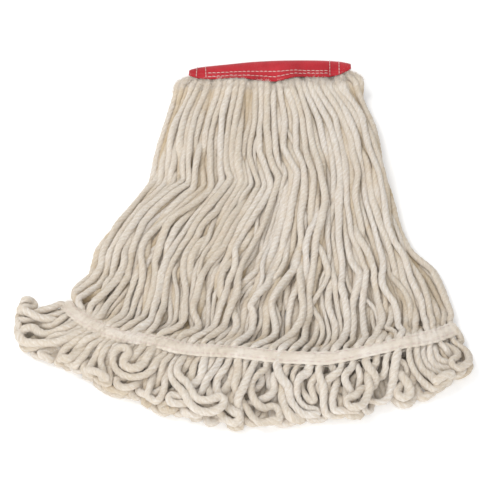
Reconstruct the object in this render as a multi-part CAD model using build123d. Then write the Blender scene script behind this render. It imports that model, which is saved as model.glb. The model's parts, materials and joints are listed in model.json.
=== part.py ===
"""String mop head: a looped-end wet mop refill, lying flat as it is stored.

A bundle of thick cotton yarn is folded in half through a red cloth headband.
One half of the yarn lies on the table (the back sheet); the other half lies on
top of it (the front sheet).  Near its free end each sheet is sewn between two
cloth tapes, the tailband, and below the tailband the yarn ends in loops.

The two halves open like a book about the headband's fold, which is how the
head is put on a handle: a crossbar passes through the fold, along X.

Frame: origin at the centre of the bounding box's underside, +Z up, X along the
headband, +Y from the loops towards the headband.  Millimetres.
"""
from build123d import *
import math
import os

# ---------------------------------------------------------------- dimensions
HINGE_Y = 211.85       # the hinge line, at the highest point of the headband's fold
MID_Z = 12.65          # height of the fold line above the table
BAND_X0, BAND_X1 = -59.5, 106.5   # headband's two ends
BAND_T = 1.3           # headband cloth
THREAD_H = 0.5         # sewing thread standing out of the cloth
THREAD_W = 0.9
LEAF_OUT_R = 12.15     # outside radius of the folded cloth
LEAF_IN_R = LEAF_OUT_R - BAND_T
BAR_HALF = 3.0         # half the height of the crossbar channel in the fold
SPLIT = 0.2            # each half stands this far off the fold's mid plane

TAPE_T = 1.2           # tailband tape
TAPE_HALF = 7.5        # half of the tape's 15 mm width
TAPE_LINES = [-7.5, -5.2, -4.2, 0.0, 4.2, 5.2, 7.5]   # the tape's edges, its two thread rows and its middle
SHEET_GAP = 1.3        # front sheet over back sheet
LOOP_GAP = 2.2         # the same among the loops
TAPE_SHEET_GAP = 3.4   # the same where both tailbands lie on each other
RIDGE = 1.6            # depth of the grooves between strands

# Plan of the laid-out sheet: 16 lines that follow the yarn from the fold (first
# point) over the band's edge (second point), the body of the mop, the tailband
# (13th point) and the loops (last three points).
LINES = [
    [(-57.00, 188.20), (-67.50, 186.85), (-78.09, 169.45), (-86.02, 129.66), (-92.42, 97.74), (-96.21, 66.32), (-104.76, 44.93), (-120.99, 15.88), (-140.87, -9.00), (-150.74, -35.69), (-162.50, -58.65), (-162.00, -67.65), (-170.32, -80.79), (-191.16, -76.35), (-209.53, -79.68), (-215.41, -97.28)],
    [(-46.30, 190.60), (-51.27, 179.55), (-60.85, 156.58), (-68.96, 117.81), (-72.05, 85.94), (-75.13, 58.05), (-92.91, 36.54), (-111.03, 9.71), (-124.91, -17.71), (-130.04, -43.81), (-139.75, -68.24), (-151.45, -88.09), (-155.42, -99.27), (-179.66, -101.94), (-200.42, -111.73), (-210.82, -122.44)],
    [(-35.50, 192.20), (-40.03, 179.43), (-47.44, 151.90), (-56.70, 113.53), (-59.92, 81.80), (-55.42, 57.52), (-78.14, 36.24), (-97.34, 10.45), (-110.31, -18.29), (-114.65, -43.56), (-119.69, -70.52), (-131.14, -96.81), (-142.16, -112.92), (-164.47, -125.75), (-188.00, -134.07), (-194.27, -137.40)],
    [(-24.80, 193.70), (-28.80, 179.55), (-36.26, 149.74), (-43.67, 111.55), (-46.07, 79.89), (-40.59, 47.01), (-62.41, 28.41), (-81.76, 5.06), (-95.84, -22.47), (-99.28, -50.06), (-99.83, -78.11), (-110.47, -105.29), (-126.93, -122.17), (-145.06, -143.53), (-159.52, -147.50), (-165.96, -148.58)],
    [(-14.10, 195.20), (-17.57, 179.55), (-23.17, 149.74), (-29.77, 111.55), (-31.35, 79.89), (-26.10, 49.45), (-46.96, 24.81), (-66.34, -1.99), (-80.56, -29.36), (-82.37, -55.68), (-82.22, -83.60), (-90.36, -109.58), (-108.61, -128.52), (-126.61, -154.91), (-137.22, -160.51), (-144.19, -160.67)],
    [(-3.30, 196.80), (-6.33, 179.55), (-10.08, 149.74), (-15.87, 111.55), (-15.66, 79.89), (-10.64, 56.80), (-30.65, 24.81), (-48.24, -5.51), (-62.65, -32.80), (-64.70, -57.92), (-64.77, -85.79), (-71.29, -111.72), (-89.61, -131.68), (-105.10, -160.04), (-117.07, -173.49), (-124.84, -174.54)],
    [(7.40, 198.20), (4.90, 179.18), (3.01, 149.74), (-1.97, 111.55), (-1.93, 79.89), (3.92, 51.89), (-11.44, 21.22), (-28.29, -10.17), (-42.90, -37.36), (-45.17, -62.39), (-46.40, -90.15), (-51.32, -114.92), (-70.66, -134.83), (-82.79, -165.16), (-91.90, -179.51), (-99.13, -182.05)],
    [(18.10, 199.10), (16.13, 177.64), (16.10, 149.74), (11.92, 111.55), (15.72, 79.89), (24.26, 49.45), (11.56, 20.03), (-3.70, -11.34), (-18.57, -40.77), (-22.03, -65.73), (-24.48, -92.32), (-30.51, -118.12), (-49.04, -140.06), (-58.78, -172.28), (-69.30, -192.73), (-76.67, -195.73)],
    [(28.90, 199.50), (27.37, 177.18), (28.18, 149.74), (27.81, 111.55), (35.38, 83.65), (43.88, 64.19), (36.44, 18.83), (19.88, -18.29), (4.76, -45.30), (1.96, -69.06), (0.13, -95.58), (-7.96, -120.24), (-25.76, -142.15), (-33.20, -176.33), (-40.89, -197.47), (-45.30, -202.68)],
    [(39.60, 199.70), (38.60, 178.96), (43.29, 149.74), (47.67, 111.55), (53.11, 86.16), (58.57, 67.90), (55.85, 30.81), (49.33, -6.67), (37.49, -37.36), (27.79, -66.84), (29.27, -95.58), (24.45, -122.36), (2.84, -145.27), (-2.45, -178.35), (-5.92, -200.84), (-5.97, -211.87)],
    [(50.30, 199.70), (49.83, 179.55), (58.39, 149.74), (65.54, 111.55), (70.81, 86.16), (74.11, 65.42), (71.24, 30.81), (67.35, -5.51), (61.77, -38.50), (52.70, -66.84), (56.55, -96.66), (55.01, -124.48), (36.69, -149.42), (34.37, -181.37), (34.25, -200.37), (37.48, -206.68)],
    [(61.10, 199.60), (61.07, 179.55), (73.49, 149.74), (82.42, 111.55), (87.52, 86.16), (89.62, 62.95), (87.60, 30.81), (85.36, -5.51), (85.13, -38.50), (83.14, -66.84), (90.22, -96.66), (90.98, -124.48), (72.29, -150.46), (74.68, -181.37), (76.61, -195.23), (78.08, -201.58)],
    [(71.80, 199.40), (72.30, 179.55), (88.60, 149.74), (99.29, 111.55), (104.24, 86.16), (104.03, 58.02), (103.95, 30.81), (104.40, -3.17), (111.49, -33.94), (116.45, -64.61), (124.85, -95.58), (126.22, -121.30), (110.08, -142.15), (114.47, -174.30), (116.57, -190.17), (119.49, -196.24)],
    [(82.50, 199.10), (83.53, 179.55), (102.91, 151.90), (112.43, 113.53), (116.27, 88.09), (116.91, 59.98), (118.62, 32.62), (124.59, -1.34), (134.26, -32.10), (142.78, -60.44), (151.80, -91.38), (155.66, -116.16), (146.70, -132.01), (153.25, -164.21), (155.69, -177.48), (154.85, -184.14)],
    [(93.30, 198.60), (94.77, 179.55), (111.34, 152.59), (120.87, 116.52), (123.60, 89.72), (126.08, 60.52), (129.55, 31.70), (134.66, 1.44), (145.16, -30.40), (160.39, -55.11), (169.30, -85.90), (173.00, -104.15), (169.56, -122.89), (180.83, -149.60), (186.72, -156.80), (191.10, -161.21)],
    [(104.00, 196.60), (115.00, 191.35), (120.78, 161.40), (130.31, 125.75), (131.93, 97.40), (135.29, 65.91), (143.12, 38.03), (146.40, 10.31), (156.57, -20.67), (177.99, -41.42), (186.95, -73.02), (191.50, -91.15), (192.11, -107.16), (207.34, -117.69), (215.42, -130.66), (214.20, -138.65)],
]
# The soft headband's outline in plan, end to end: x, top of the fold, lower edge.
BAND = [
    (-59.5, 197.65, 185.35),
    (-57.0, 200.35, 183.35),
    (-46.3, 202.75, 180.35),
    (-35.5, 204.35, 180.15),
    (-24.8, 205.85, 180.75),
    (-14.1, 207.35, 181.95),
    (-3.3, 208.95, 180.75),
    (7.4, 210.35, 179.75),
    (18.1, 211.25, 178.15),
    (28.9, 211.65, 177.95),
    (39.6, 211.85, 179.95),
    (50.3, 211.85, 182.15),
    (61.1, 211.75, 182.65),
    (71.8, 211.55, 182.65),
    (82.5, 211.25, 182.95),
    (93.3, 210.75, 185.75),
    (104.0, 208.75, 193.55),
    (106.5, 206.95, 195.35),
]
# Where each line's yarn swells out again just below the headband, past its ends too.
SWELL = [(-73.50, 179.85), (-53.44, 178.17), (-40.47, 177.78), (-29.25, 177.76), (-17.91, 177.76), (-6.56, 177.76), (4.79, 177.42), (16.13, 175.97), (27.42, 175.53), (38.88, 177.21), (50.34, 177.76), (61.82, 177.76), (73.28, 177.76), (84.69, 177.89), (97.36, 177.93), (119.50, 184.35)]
SWELL_UP = 1.6         # how far the yarn stands above the headband there
NG = len(LINES)
NK = 16
K_TAIL = 12

# Height of the top of each sheet, by station, away from the sheet's side edges.
FRONT_TOP = [23.5, 23.5, 25.0, 25.0, 25.0, 25.5, 25.0, 25.5, 26.5, 28.0, 29.0, 28.5, 25.0, 32.0, 27.0, 17.0]
BACK_TOP = [9.65, 9.65, 12.0, 12.0, 12.0, 12.0, 12.0, 12.0, 12.0, 12.0, 12.0, 11.5, 10.0, 13.0, 12.0, 7.0]
FRONT_BOT_BAND = MID_Z + BAR_HALF          # at the two stations inside the band
BACK_BOT_BAND = THREAD_H + BAND_T
EDGE_STRAND = 7.0      # one strand lying on the table at the sheet's side edge


def edge_share(g, first, last):
    """How much of the full height the sheet has at line g."""
    near = min(g - first, last - g)
    return [0.0, 0.6, 0.9, 1.0][min(near, 3)]


BACK_FIRST, BACK_LAST = 1, NG - 2


def back_top(g, k):
    full = BACK_TOP[k]
    if k <= 1:
        return full
    low = 7.0 if k < 15 else 5.0
    return low + (full - low) * edge_share(g, BACK_FIRST, BACK_LAST)


def back_bot(g, k):
    if k <= 1:
        return BACK_BOT_BAND
    return TAPE_T if k == K_TAIL else 0.0


def gap(k):
    return LOOP_GAP if k > K_TAIL else TAPE_SHEET_GAP if k == K_TAIL else SHEET_GAP


def front_bot(g, k):
    if k <= 1:
        return FRONT_BOT_BAND
    if g in (0, NG - 1):
        return 0.0
    return back_top(g, k) + gap(k)


def front_top(g, k):
    full = FRONT_TOP[k]
    if k <= 1:
        return full
    low = EDGE_STRAND + (TAPE_T if k == K_TAIL else 0.0)
    top = low + (full - low) * edge_share(g, 0, NG - 1)
    return max(top, front_bot(g, k) + 6.0)


# ------------------------------------------------------------- station lists
def unit(a, b):
    d = math.hypot(b[0] - a[0], b[1] - a[1])
    return ((b[0] - a[0]) / d, (b[1] - a[1]) / d)


def along_tail(g, s):
    """Plan point s mm below (+) or above (-) the tailband's middle on line g."""
    d = unit(LINES[g][K_TAIL - 1], LINES[g][K_TAIL + 1])
    x, y = LINES[g][K_TAIL]
    return (x + d[0] * s, y + d[1] * s)


def strand_stations(g, bot, top):
    """(plan point, bottom z, top z, grooved) from the fold to the tailband's middle."""
    out = []
    for k in range(K_TAIL):
        out.append((LINES[g][k], bot(g, k), top(g, k), k > 1))
        if k == 1:   # just outside the band's edge the yarn swells out
            up = SWELL_UP if top is front_top else 0.0
            low = 0.0 if g < 2 or g > NG - 3 else 0.2
            out.append((SWELL[g], bot(g, 1) + (bot(g, 2) - bot(g, 1)) * low,
                        top(g, 1) + (top(g, 2) - top(g, 1)) * 0.4 + up, False))
    for s in TAPE_LINES[:4]:
        out.append((along_tail(g, s), bot(g, K_TAIL), top(g, K_TAIL), False))
    return out


def loop_stations(g, bot, top):
    out = [(along_tail(g, s), bot(g, K_TAIL), top(g, K_TAIL), False) for s in TAPE_LINES[3:]]
    for k in range(K_TAIL + 1, NK):
        out.append((LINES[g][k], bot(g, k), top(g, k), True))
    return out


# ------------------------------------------------------------------- solids
def tri(a, b, c):
    return Face(Wire.make_polygon([a, b, c], close=True))


def flat(points):
    return Face(Wire.make_polygon(points, close=True))


def patch(faces, a, b, c, d):
    """Adds the quad a-b-c-d, as two triangles where it isn't flat. The diagonal is a-c."""
    va = Vector(*a)
    n = (Vector(*b) - va).cross(Vector(*c) - va)
    off = abs((Vector(*d) - va).dot(n.normalized())) if n.length > 1e-9 else 1.0
    if off < 1e-7:
        faces.append(flat([a, b, c, d]))
    else:
        faces.append(tri(a, b, c))
        faces.append(tri(a, c, d))


def slab(columns, ridges=0):
    """A closed solid over a grid. columns[g][i] is (plan point, bottom z, top z, grooved)."""
    ncol, nst = len(columns), len(columns[0])
    per = 2 * ridges if ridges else 1
    faces = []
    # top outline points across each station
    tops = []
    for i in range(nst):
        row = []
        for g in range(ncol):
            (x, y), zb, zt, grooved = columns[g][i]
            drop = RIDGE if (ridges and grooved) else 0.0
            row.append((x, y, zt - drop))
            if ridges and g + 1 < ncol:
                (x1, y1), _, zt1, _ = columns[g + 1][i]
                for r in range(1, 2 * ridges):
                    t = r / (2 * ridges)
                    z = zt + (zt1 - zt) * t - (0.0 if r % 2 else drop)
                    row.append((x + (x1 - x) * t, y + (y1 - y) * t, z))
        tops.append(row)
    bots = []
    for i in range(nst):
        row = [(columns[0][i][0][0], columns[0][i][0][1], columns[0][i][1])]
        for g in range(ncol - 1):
            (x, y), zb, _, _ = columns[g][i]
            (x1, y1), zb1, _, _ = columns[g + 1][i]
            for r in range(1, per + 1):
                t = r / per
                row.append((x + (x1 - x) * t, y + (y1 - y) * t, zb + (zb1 - zb) * t))
        bots.append(row)
    for i in range(nst - 1):
        for j in range(len(tops[0]) - 1):
            patch(faces, tops[i][j], tops[i][j + 1], tops[i + 1][j + 1], tops[i + 1][j])
        for j in range(len(bots[0]) - 1):
            patch(faces, bots[i][j], bots[i][j + 1], bots[i + 1][j + 1], bots[i + 1][j])
        for j in (0, len(tops[0]) - 1):
            faces.append(flat([bots[i][j], bots[i + 1][j], tops[i + 1][j], tops[i][j]]))
    for i in (0, nst - 1):
        for j in range(len(tops[0]) - 1):
            faces.append(flat([bots[i][j], bots[i][j + 1], tops[i][j + 1], tops[i][j]]))
    solid = Solid(Shell(faces))
    if solid.volume < 0:
        solid = Solid(Shell([f for f in faces]).fix())
    return solid


def across(first, last, offsets, zb, zt):
    """A thin strip that crosses the lines first..last at these offsets along the tailband."""
    return [[(along_tail(g, s), zb(g), zt(g), False) for s in offsets] for g in range(first, last + 1)]


def box(x0, x1, y0, y1, z0, z1):
    return Pos((x0 + x1) / 2, (y0 + y1) / 2, (z0 + z1) / 2) * Box(x1 - x0, y1 - y0, z1 - z0)


ARC = 6                # flat facets in each quarter of the fold


def loft(sections):
    """A closed solid through closed outlines of equal length, each in a plane of constant x."""
    faces = [flat(sections[0]), flat(sections[-1])]
    for s0, s1 in zip(sections[:-1], sections[1:]):
        for j in range(len(s0)):
            k = (j + 1) % len(s0)
            patch(faces, s0[j], s0[k], s1[k], s1[j])
    return Solid(Shell(faces))


def band_at(x):
    """Top of the fold and lower edge of the headband at x."""
    for (x0, c0, e0), (x1, c1, e1) in zip(BAND[:-1], BAND[1:]):
        if x <= x1 + 1e-9:
            t = (x - x0) / (x1 - x0)
            return c0 + (c1 - c0) * t, e0 + (e1 - e0) * t
    return BAND[-1][1], BAND[-1][2]


def arc(x, cy, ry, rz, s):
    """A quarter of an oval from the fold's mid plane to its flat part."""
    a0 = math.asin(SPLIT / rz)
    steps = [a0 + (math.pi / 2 - a0) * i / ARC for i in range(ARC + 1)]
    return [(x, cy + ry * math.cos(a), MID_Z + s * rz * math.sin(a)) for a in steps]


def leaf(up):
    """Half of the folded strip: a quarter of the fold's round and the flat part down to its edge."""
    s = 1 if up else -1
    out = []
    for x, crest, edge in BAND:
        ry = min(LEAF_OUT_R, crest - edge - 1.5)
        cy = crest - ry
        outer = arc(x, cy, ry, LEAF_OUT_R, s) + [(x, edge, MID_Z + s * LEAF_OUT_R)]
        inner = arc(x, cy, ry - BAND_T, LEAF_IN_R, s) + [(x, edge, MID_Z + s * LEAF_IN_R)]
        out.append(outer + inner[::-1])
    return loft(out)


def fold_yarn(up):
    """Half of the yarn's turn round the fold, inside the headband."""
    s = 1 if up else -1
    out = []
    for line in LINES:
        x, cy = line[0]
        out.append(arc(x, cy, LEAF_IN_R, LEAF_IN_R, s) + arc(x, cy, BAR_HALF, BAR_HALF, s)[::-1])
    return loft(out)


# -------------------------------------------------------------------- build
NODES = {}

FRONT_SPLITS = [0, 1, 3, 5, 7, 9, 11, 13, 15]
BACK_SPLITS = [1, 3, 5, 7, 9, 11, 13, 14]

for i in range(len(FRONT_SPLITS) - 1):
    a, b = FRONT_SPLITS[i], FRONT_SPLITS[i + 1]
    NODES[f"front_strands_{i + 1:02d}"] = slab([strand_stations(g, front_bot, front_top) for g in range(a, b + 1)], ridges=2)
    NODES[f"front_loops_{i + 1:02d}"] = slab([loop_stations(g, front_bot, front_top) for g in range(a, b + 1)], ridges=2)
for i in range(len(BACK_SPLITS) - 1):
    a, b = BACK_SPLITS[i], BACK_SPLITS[i + 1]
    NODES[f"back_strands_{i + 1:02d}"] = slab([strand_stations(g, back_bot, back_top) for g in range(a, b + 1)])
    NODES[f"back_loops_{i + 1:02d}"] = slab([loop_stations(g, back_bot, back_top) for g in range(a, b + 1)])

# the red headband: one strip folded over the yarn, in two leaves that meet at the fold
NODES["headband_front_leaf"] = leaf(True)
NODES["headband_back_leaf"] = leaf(False)
# the yarn where it turns round the fold inside the headband
NODES["front_fold_yarn"] = fold_yarn(True)
NODES["back_fold_yarn"] = fold_yarn(False)

# the headband's seams: two long rows beside the lower edge, and bar rows across each end
SEAMS = {"upper": [(-42.0, 187.95), (-16.5, 189.55), (14.0, 190.55), (28.0, 190.65), (84.0, 190.95)],
         "lower": [(-40.0, 183.05), (-16.5, 184.65), (14.0, 184.4), (28.0, 183.6), (45.8, 186.05), (64.0, 187.15), (82.0, 187.65)]}
STITCH, PITCH = 3.2, 4.4
END_ROWS_X = [BAND_X0 + 7.5, BAND_X0 + 17.5, BAND_X1 - 12.5, BAND_X1 - 22.0]


def along(points, x):
    """y at x on a line through these points, level beyond its ends."""
    if x <= points[0][0]:
        return points[0][1]
    for (x0, y0), (x1, y1) in zip(points[:-1], points[1:]):
        if x <= x1:
            return y0 + (y1 - y0) * (x - x0) / (x1 - x0)
    return points[-1][1]


def seam_row(row, z0):
    n = int((END_ROWS_X[3] - END_ROWS_X[1] - 3) // PITCH)
    start = (END_ROWS_X[1] + END_ROWS_X[3]) / 2 - n * PITCH / 2
    out = []
    for i in range(n):
        x = start + (i + 0.5) * PITCH
        y = along(row, x)
        out.append(box(x - STITCH / 2, x + STITCH / 2, y - THREAD_W / 2, y + THREAD_W / 2, z0, z0 + THREAD_H))
    return out


def end_rows(z0):
    out = []
    for x in END_ROWS_X:
        crest, edge = band_at(x)
        y = edge + 1.2
        while y + STITCH < crest - LEAF_OUT_R - 0.3:
            out.append(box(x - THREAD_W / 2, x + THREAD_W / 2, y, y + STITCH, z0, z0 + THREAD_H))
            y += PITCH
    return out


top_z = MID_Z + LEAF_OUT_R
bot_z = MID_Z - LEAF_OUT_R - THREAD_H
for side, z0 in (("front", top_z), ("back", bot_z)):
    for row, y in SEAMS.items():
        NODES[f"headband_{side}_seam_{row}"] = Compound(children=seam_row(y, z0))
    NODES[f"headband_{side}_end_seams"] = Compound(children=end_rows(z0))

# the tailbands: a tape on each face of each sheet, and two rows of thread on the upper tape
for side, first, last, ridges, bot, top in (("front", 0, NG - 1, 2, front_bot, front_top),
                                            ("back", BACK_FIRST, BACK_LAST, 0, back_bot, back_top)):
    def zt(g, top=top):
        return top(g, K_TAIL)

    def zb(g, bot=bot):
        return bot(g, K_TAIL)

    NODES[f"{side}_tailband_upper_tape"] = slab(
        across(first, last, TAPE_LINES, zt, lambda g, f=zt: f(g) + TAPE_T), ridges)
    NODES[f"{side}_tailband_lower_tape"] = slab(
        across(1, NG - 2, TAPE_LINES, lambda g, f=zb: f(g) - TAPE_T, zb), ridges)
    for row, offsets in (("upper", TAPE_LINES[1:3]), ("lower", TAPE_LINES[4:6])):
        NODES[f"{side}_tailband_seam_{row}"] = slab(
            across(first, last, offsets, lambda g, f=zt: f(g) + TAPE_T, lambda g, f=zt: f(g) + TAPE_T + THREAD_H), ridges)

os.makedirs("parts", exist_ok=True)
for name, shape in NODES.items():
    export_step(shape, f"parts/{name}.step")
print(len(NODES), "nodes")
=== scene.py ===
"""Looks of the string mop head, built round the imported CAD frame."""
import bpy
import json
import math
import numpy as np
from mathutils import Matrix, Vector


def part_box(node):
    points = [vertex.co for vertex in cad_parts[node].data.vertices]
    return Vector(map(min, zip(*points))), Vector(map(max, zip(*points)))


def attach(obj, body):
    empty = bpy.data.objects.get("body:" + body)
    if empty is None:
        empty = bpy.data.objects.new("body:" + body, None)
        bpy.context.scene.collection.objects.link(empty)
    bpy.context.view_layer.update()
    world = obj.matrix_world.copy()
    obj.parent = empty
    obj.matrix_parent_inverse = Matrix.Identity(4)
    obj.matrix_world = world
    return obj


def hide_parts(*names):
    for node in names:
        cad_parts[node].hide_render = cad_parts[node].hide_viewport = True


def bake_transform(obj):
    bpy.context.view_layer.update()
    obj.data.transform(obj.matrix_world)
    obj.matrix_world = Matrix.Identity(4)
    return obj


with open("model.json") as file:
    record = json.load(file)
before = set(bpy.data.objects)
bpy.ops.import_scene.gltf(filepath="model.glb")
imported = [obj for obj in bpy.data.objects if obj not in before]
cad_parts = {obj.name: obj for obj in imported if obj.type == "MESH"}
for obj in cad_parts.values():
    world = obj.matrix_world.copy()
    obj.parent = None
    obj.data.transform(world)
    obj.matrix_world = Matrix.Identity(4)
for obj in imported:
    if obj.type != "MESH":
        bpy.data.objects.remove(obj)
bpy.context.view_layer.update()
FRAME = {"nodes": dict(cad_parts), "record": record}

# ------------------------------------------------------------------ camera
EL = math.radians(55.0)
AIM = np.array([0.0015, -0.0188 - 0.00165, 0.012])
FW = np.array([0.0, math.cos(EL), -math.sin(EL)])
UP = np.array([0.0, math.sin(EL), math.cos(EL)])
AIM = AIM + np.array([1.0, 0, 0]) * 0.001425 - UP * 0.00285
cam_data = bpy.data.cameras.new("camera")
cam = bpy.data.objects.new("camera", cam_data)
bpy.context.scene.collection.objects.link(cam)
cam_data.lens = 108.0
cam_data.sensor_width = 36.0
cam_data.clip_end = 50.0
cam.location = AIM - FW * 1.425
cam.rotation_euler = (math.pi / 2 - EL, 0.0, 0.0)
bpy.context.scene.camera = cam

# ---- the yarn's guide lines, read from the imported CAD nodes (millimetres) ----
def axis_groups(v, tol=0.004):
    """Values closer together than tol share one value, their mean."""
    o = np.argsort(v, kind="stable")
    grp = np.empty(len(v), int)
    grp[o] = np.cumsum(np.r_[0, np.diff(v[o]) > tol])
    return (np.bincount(grp, v) / np.bincount(grp))[grp]


def node_points(name):
    """Vertices of a node in mm, and its triangles, with coincident vertices merged."""
    me = FRAME["nodes"][name].data
    co = np.array([v.co for v in me.vertices], float) * 1000
    key = np.stack([axis_groups(co[:, c]) for c in range(3)], 1)
    uniq, inv = np.unique(key, axis=0, return_inverse=True)
    inv = np.asarray(inv).reshape(-1)
    tris = []
    for p in me.polygons:
        t = [int(inv[i]) for i in p.vertices]
        if len(set(t)) > 2:
            tris.append(t)
    return uniq, tris


def rim(uniq, tris):
    """The slab's outline in plan as an ordered ring of points, from its upright walls."""
    nxt = {}
    for t in tris:
        plan = {tuple(uniq[i][:2]) for i in t}
        if len(plan) == 2:              # an upright wall seen from above is a line
            a, b = plan
            nxt.setdefault(a, set()).add(b)
            nxt.setdefault(b, set()).add(a)
    start = min(nxt)
    ring, before = [start], None
    while True:
        here = ring[-1]
        ways = sorted(w for w in nxt[here] if w != before)
        step = ways[0]
        if step == start:
            break
        before = here
        ring.append(step)
        if len(ring) > 4 * len(nxt):
            raise RuntimeError("the outline of a strands node does not close")
    return np.array(ring)


def find(points, p, tol=0.06):
    d = np.hypot(points[:, 0] - p[0], points[:, 1] - p[1])
    return float(d.min()) < tol


def sides(name, cells, is_start):
    """Left and right outline of a slab, from its start row to its end row."""
    uniq, tris = node_points(name)
    ring = rim(uniq, tris)
    n, m = len(ring), 4 * cells + 1
    at = np.array([is_start(p) for p in ring])
    if at.sum() != m:
        raise RuntimeError("%s: %d points in the start row, not %d" % (name, at.sum(), m))
    first = next(i for i in range(n) if at[i] and not at[i - 1])
    ring = np.roll(ring, -first, axis=0)
    per = (n - 2 * m) // 2
    one = ring[m - 1:m + per + 1]                      # last of the start row, then down that side
    other = np.vstack([ring[:1], ring[::-1][:per + 1]])
    end = ring[m + per:m + per + m]
    left, right = (other, one) if other[0][0] < one[0][0] else (one, other)
    return uniq, left, right, end


def heights(uniq, p, tol=0.06):
    z = uniq[np.hypot(uniq[:, 0] - p[0], uniq[:, 1] - p[1]) < tol][:, 2]
    return float(z.min()), float(z.max())


def middle(uniq, a, b):
    """The guide point between a and b in a slab two cells wide: each half row is cut in four."""
    plan = np.unique(uniq[:, :2], axis=0)
    best = None
    for g in plan:
        ok = all(find(plan, a + (g - a) * r / 4) and find(plan, g + (b - g) * r / 4) for r in (1, 2, 3))
        if ok and np.hypot(*(g - a)) > 1 and np.hypot(*(g - b)) > 1:
            off = abs(np.hypot(*(g - a)) - np.hypot(*(g - b)))
            if best is None or off < best[0]:
                best = (off, g)
    return (a + b) / 2 if best is None else best[1]


# the headband's outline in plan, from its upper leaf: top of the fold and lower edge along x
_leaf = node_points("headband_front_leaf")[0]
BAND_XS = np.unique(np.round(_leaf[:, 0], 2))
BAND_XS = BAND_XS[np.r_[True, np.diff(BAND_XS) > 0.5]]
_at = [_leaf[np.abs(_leaf[:, 0] - x) < 0.05][:, 1] for x in BAND_XS]
CREST_AT, EDGE_AT = np.array([y.max() for y in _at]), np.array([y.min() for y in _at])
_leaf_lo, _leaf_hi = (np.array(c) * 1000 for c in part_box("headband_front_leaf"))
_joint = next(j for j in FRAME["record"]["behaviour"]["joints"] if j["name"] == "front_sheet_open")
HINGE = np.array(_joint["pos_m"]) * 1000
BAND_X0, BAND_X1, MID_Z = float(_leaf_lo[0]), float(_leaf_hi[0]), float(HINGE[2])
FOLD_R = float(_leaf_hi[2]) - MID_Z
# the turned yarn's nodes give the line where the fold's round ends
_turn = node_points("front_fold_yarn")[0]
_top = _turn[_turn[:, 2] > _turn[:, 2].max() - 0.02]
_top = _top[np.argsort(_top[:, 0])]


def fold_y(x):
    return np.interp(x, _top[:, 0], _top[:, 1])


def read_sheet(sheet, splits):
    """Plan points (line, station), and bottom and top of the yarn there, for one sheet."""
    pts, zb, zt = {}, {}, {}
    for i, (a, b) in enumerate(zip(splits[:-1], splits[1:])):
        cells = b - a
        name = "%s_strands_%02d" % (sheet, i + 1)
        uniq, left, right, end = sides(name, cells, lambda p: abs(p[1] - fold_y(p[0])) < 0.04)
        # rows: 0, 1, the swell, 2..11, then four rows over the tape; the last is the tailband's middle
        rows = [0, 1] + list(range(3, 13)) + [len(left) - 1]
        low = "%s_loops_%02d" % (sheet, i + 1)
        u2, l2, r2, _ = sides(low, cells, lambda p: find(end, p))
        rows2 = [4, 5, 6]
        for k, (u, lf, rt, r) in enumerate([(uniq, left, right, r) for r in rows] + [(u2, l2, r2, r) for r in rows2]):
            line = [(a, lf[r])] + ([(a + 1, middle(u, lf[r], rt[r]))] if cells == 2 else []) + [(b, rt[r])]
            for g, p in line:
                pts[g, k] = p
                lo, hi = heights(u, p)
                zb[g, k], zt[g, k] = lo, hi
        line = [(a, left[2])] + ([(a + 1, middle(uniq, left[2], right[2]))] if cells == 2 else []) + [(b, right[2])]
        for g, p in line:      # the swell just below the headband
            pts[g, "swell"], zt[g, "swell"] = p, heights(uniq, p)[1]
    return pts, zb, zt


def table(d, g0, g1):
    return np.array([[d[g, k] for k in range(16)] for g in range(g0, g1 + 1)])


FRONT_SPLITS = [0, 1, 3, 5, 7, 9, 11, 13, 15]
BACK_SPLITS = [1, 3, 5, 7, 9, 11, 13, 14]
_p, _b, _t = read_sheet("front", FRONT_SPLITS)
Q = table(_p, 0, 15)                       # (16 lines, 16 stations, 2)
FRONT_ZB, FRONT_ZT = table(_b, 0, 15), table(_t, 0, 15)
SWELL = np.array([_p[g, "swell"] for g in range(16)])
SWELL_Z = np.array([_t[g, "swell"] for g in range(16)])
# the back sheet lies under lines 1..14 on the same plan
_all = np.vstack([node_points(n)[0] for n in sorted(FRAME["nodes"]) if n.startswith(("back_strands_", "back_loops_"))])
_h = [[heights(_all, Q[g, k]) for k in range(16)] for g in range(1, 15)]
BACK_ZB, BACK_ZT = np.array(_h)[:, :, 0], np.array(_h)[:, :, 1]
# ---- yarn layout and relaxation (millimetres) ----
K_TAIL = 12
RIDGE = 1.6          # the nodes' tops stand this much higher between two guide lines


def on_grid(tab, u, kf, first=0):
    """A height table of the nodes, read between its lines and stations."""
    g = np.clip(np.asarray(u, float) - first, 0, tab.shape[0] - 1)
    kf = np.clip(np.asarray(kf, float), 0, tab.shape[1] - 1)
    g, kf = np.broadcast_arrays(g, kf)
    i, k = np.minimum(g.astype(int), tab.shape[0] - 2), np.minimum(kf.astype(int), tab.shape[1] - 2)
    a, b = g - i, kf - k
    return (tab[i, k] * (1 - a) + tab[i + 1, k] * a) * (1 - b) + (tab[i, k + 1] * (1 - a) + tab[i + 1, k + 1] * a) * b


def zrange(sheet, u, kf):
    """Bottom and top of a sheet's yarn at (line, station)."""
    up = RIDGE * np.clip((kf - 1.0) / 0.8, 0, 1)
    if sheet == "back":
        bot, top = on_grid(BACK_ZB, u, kf, 1), on_grid(BACK_ZT, u, kf, 1)
    else:
        bot, top = on_grid(FRONT_ZB, u, kf), on_grid(FRONT_ZT, u, kf) + up
    return bot, np.maximum(top, bot + 6.0)


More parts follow.
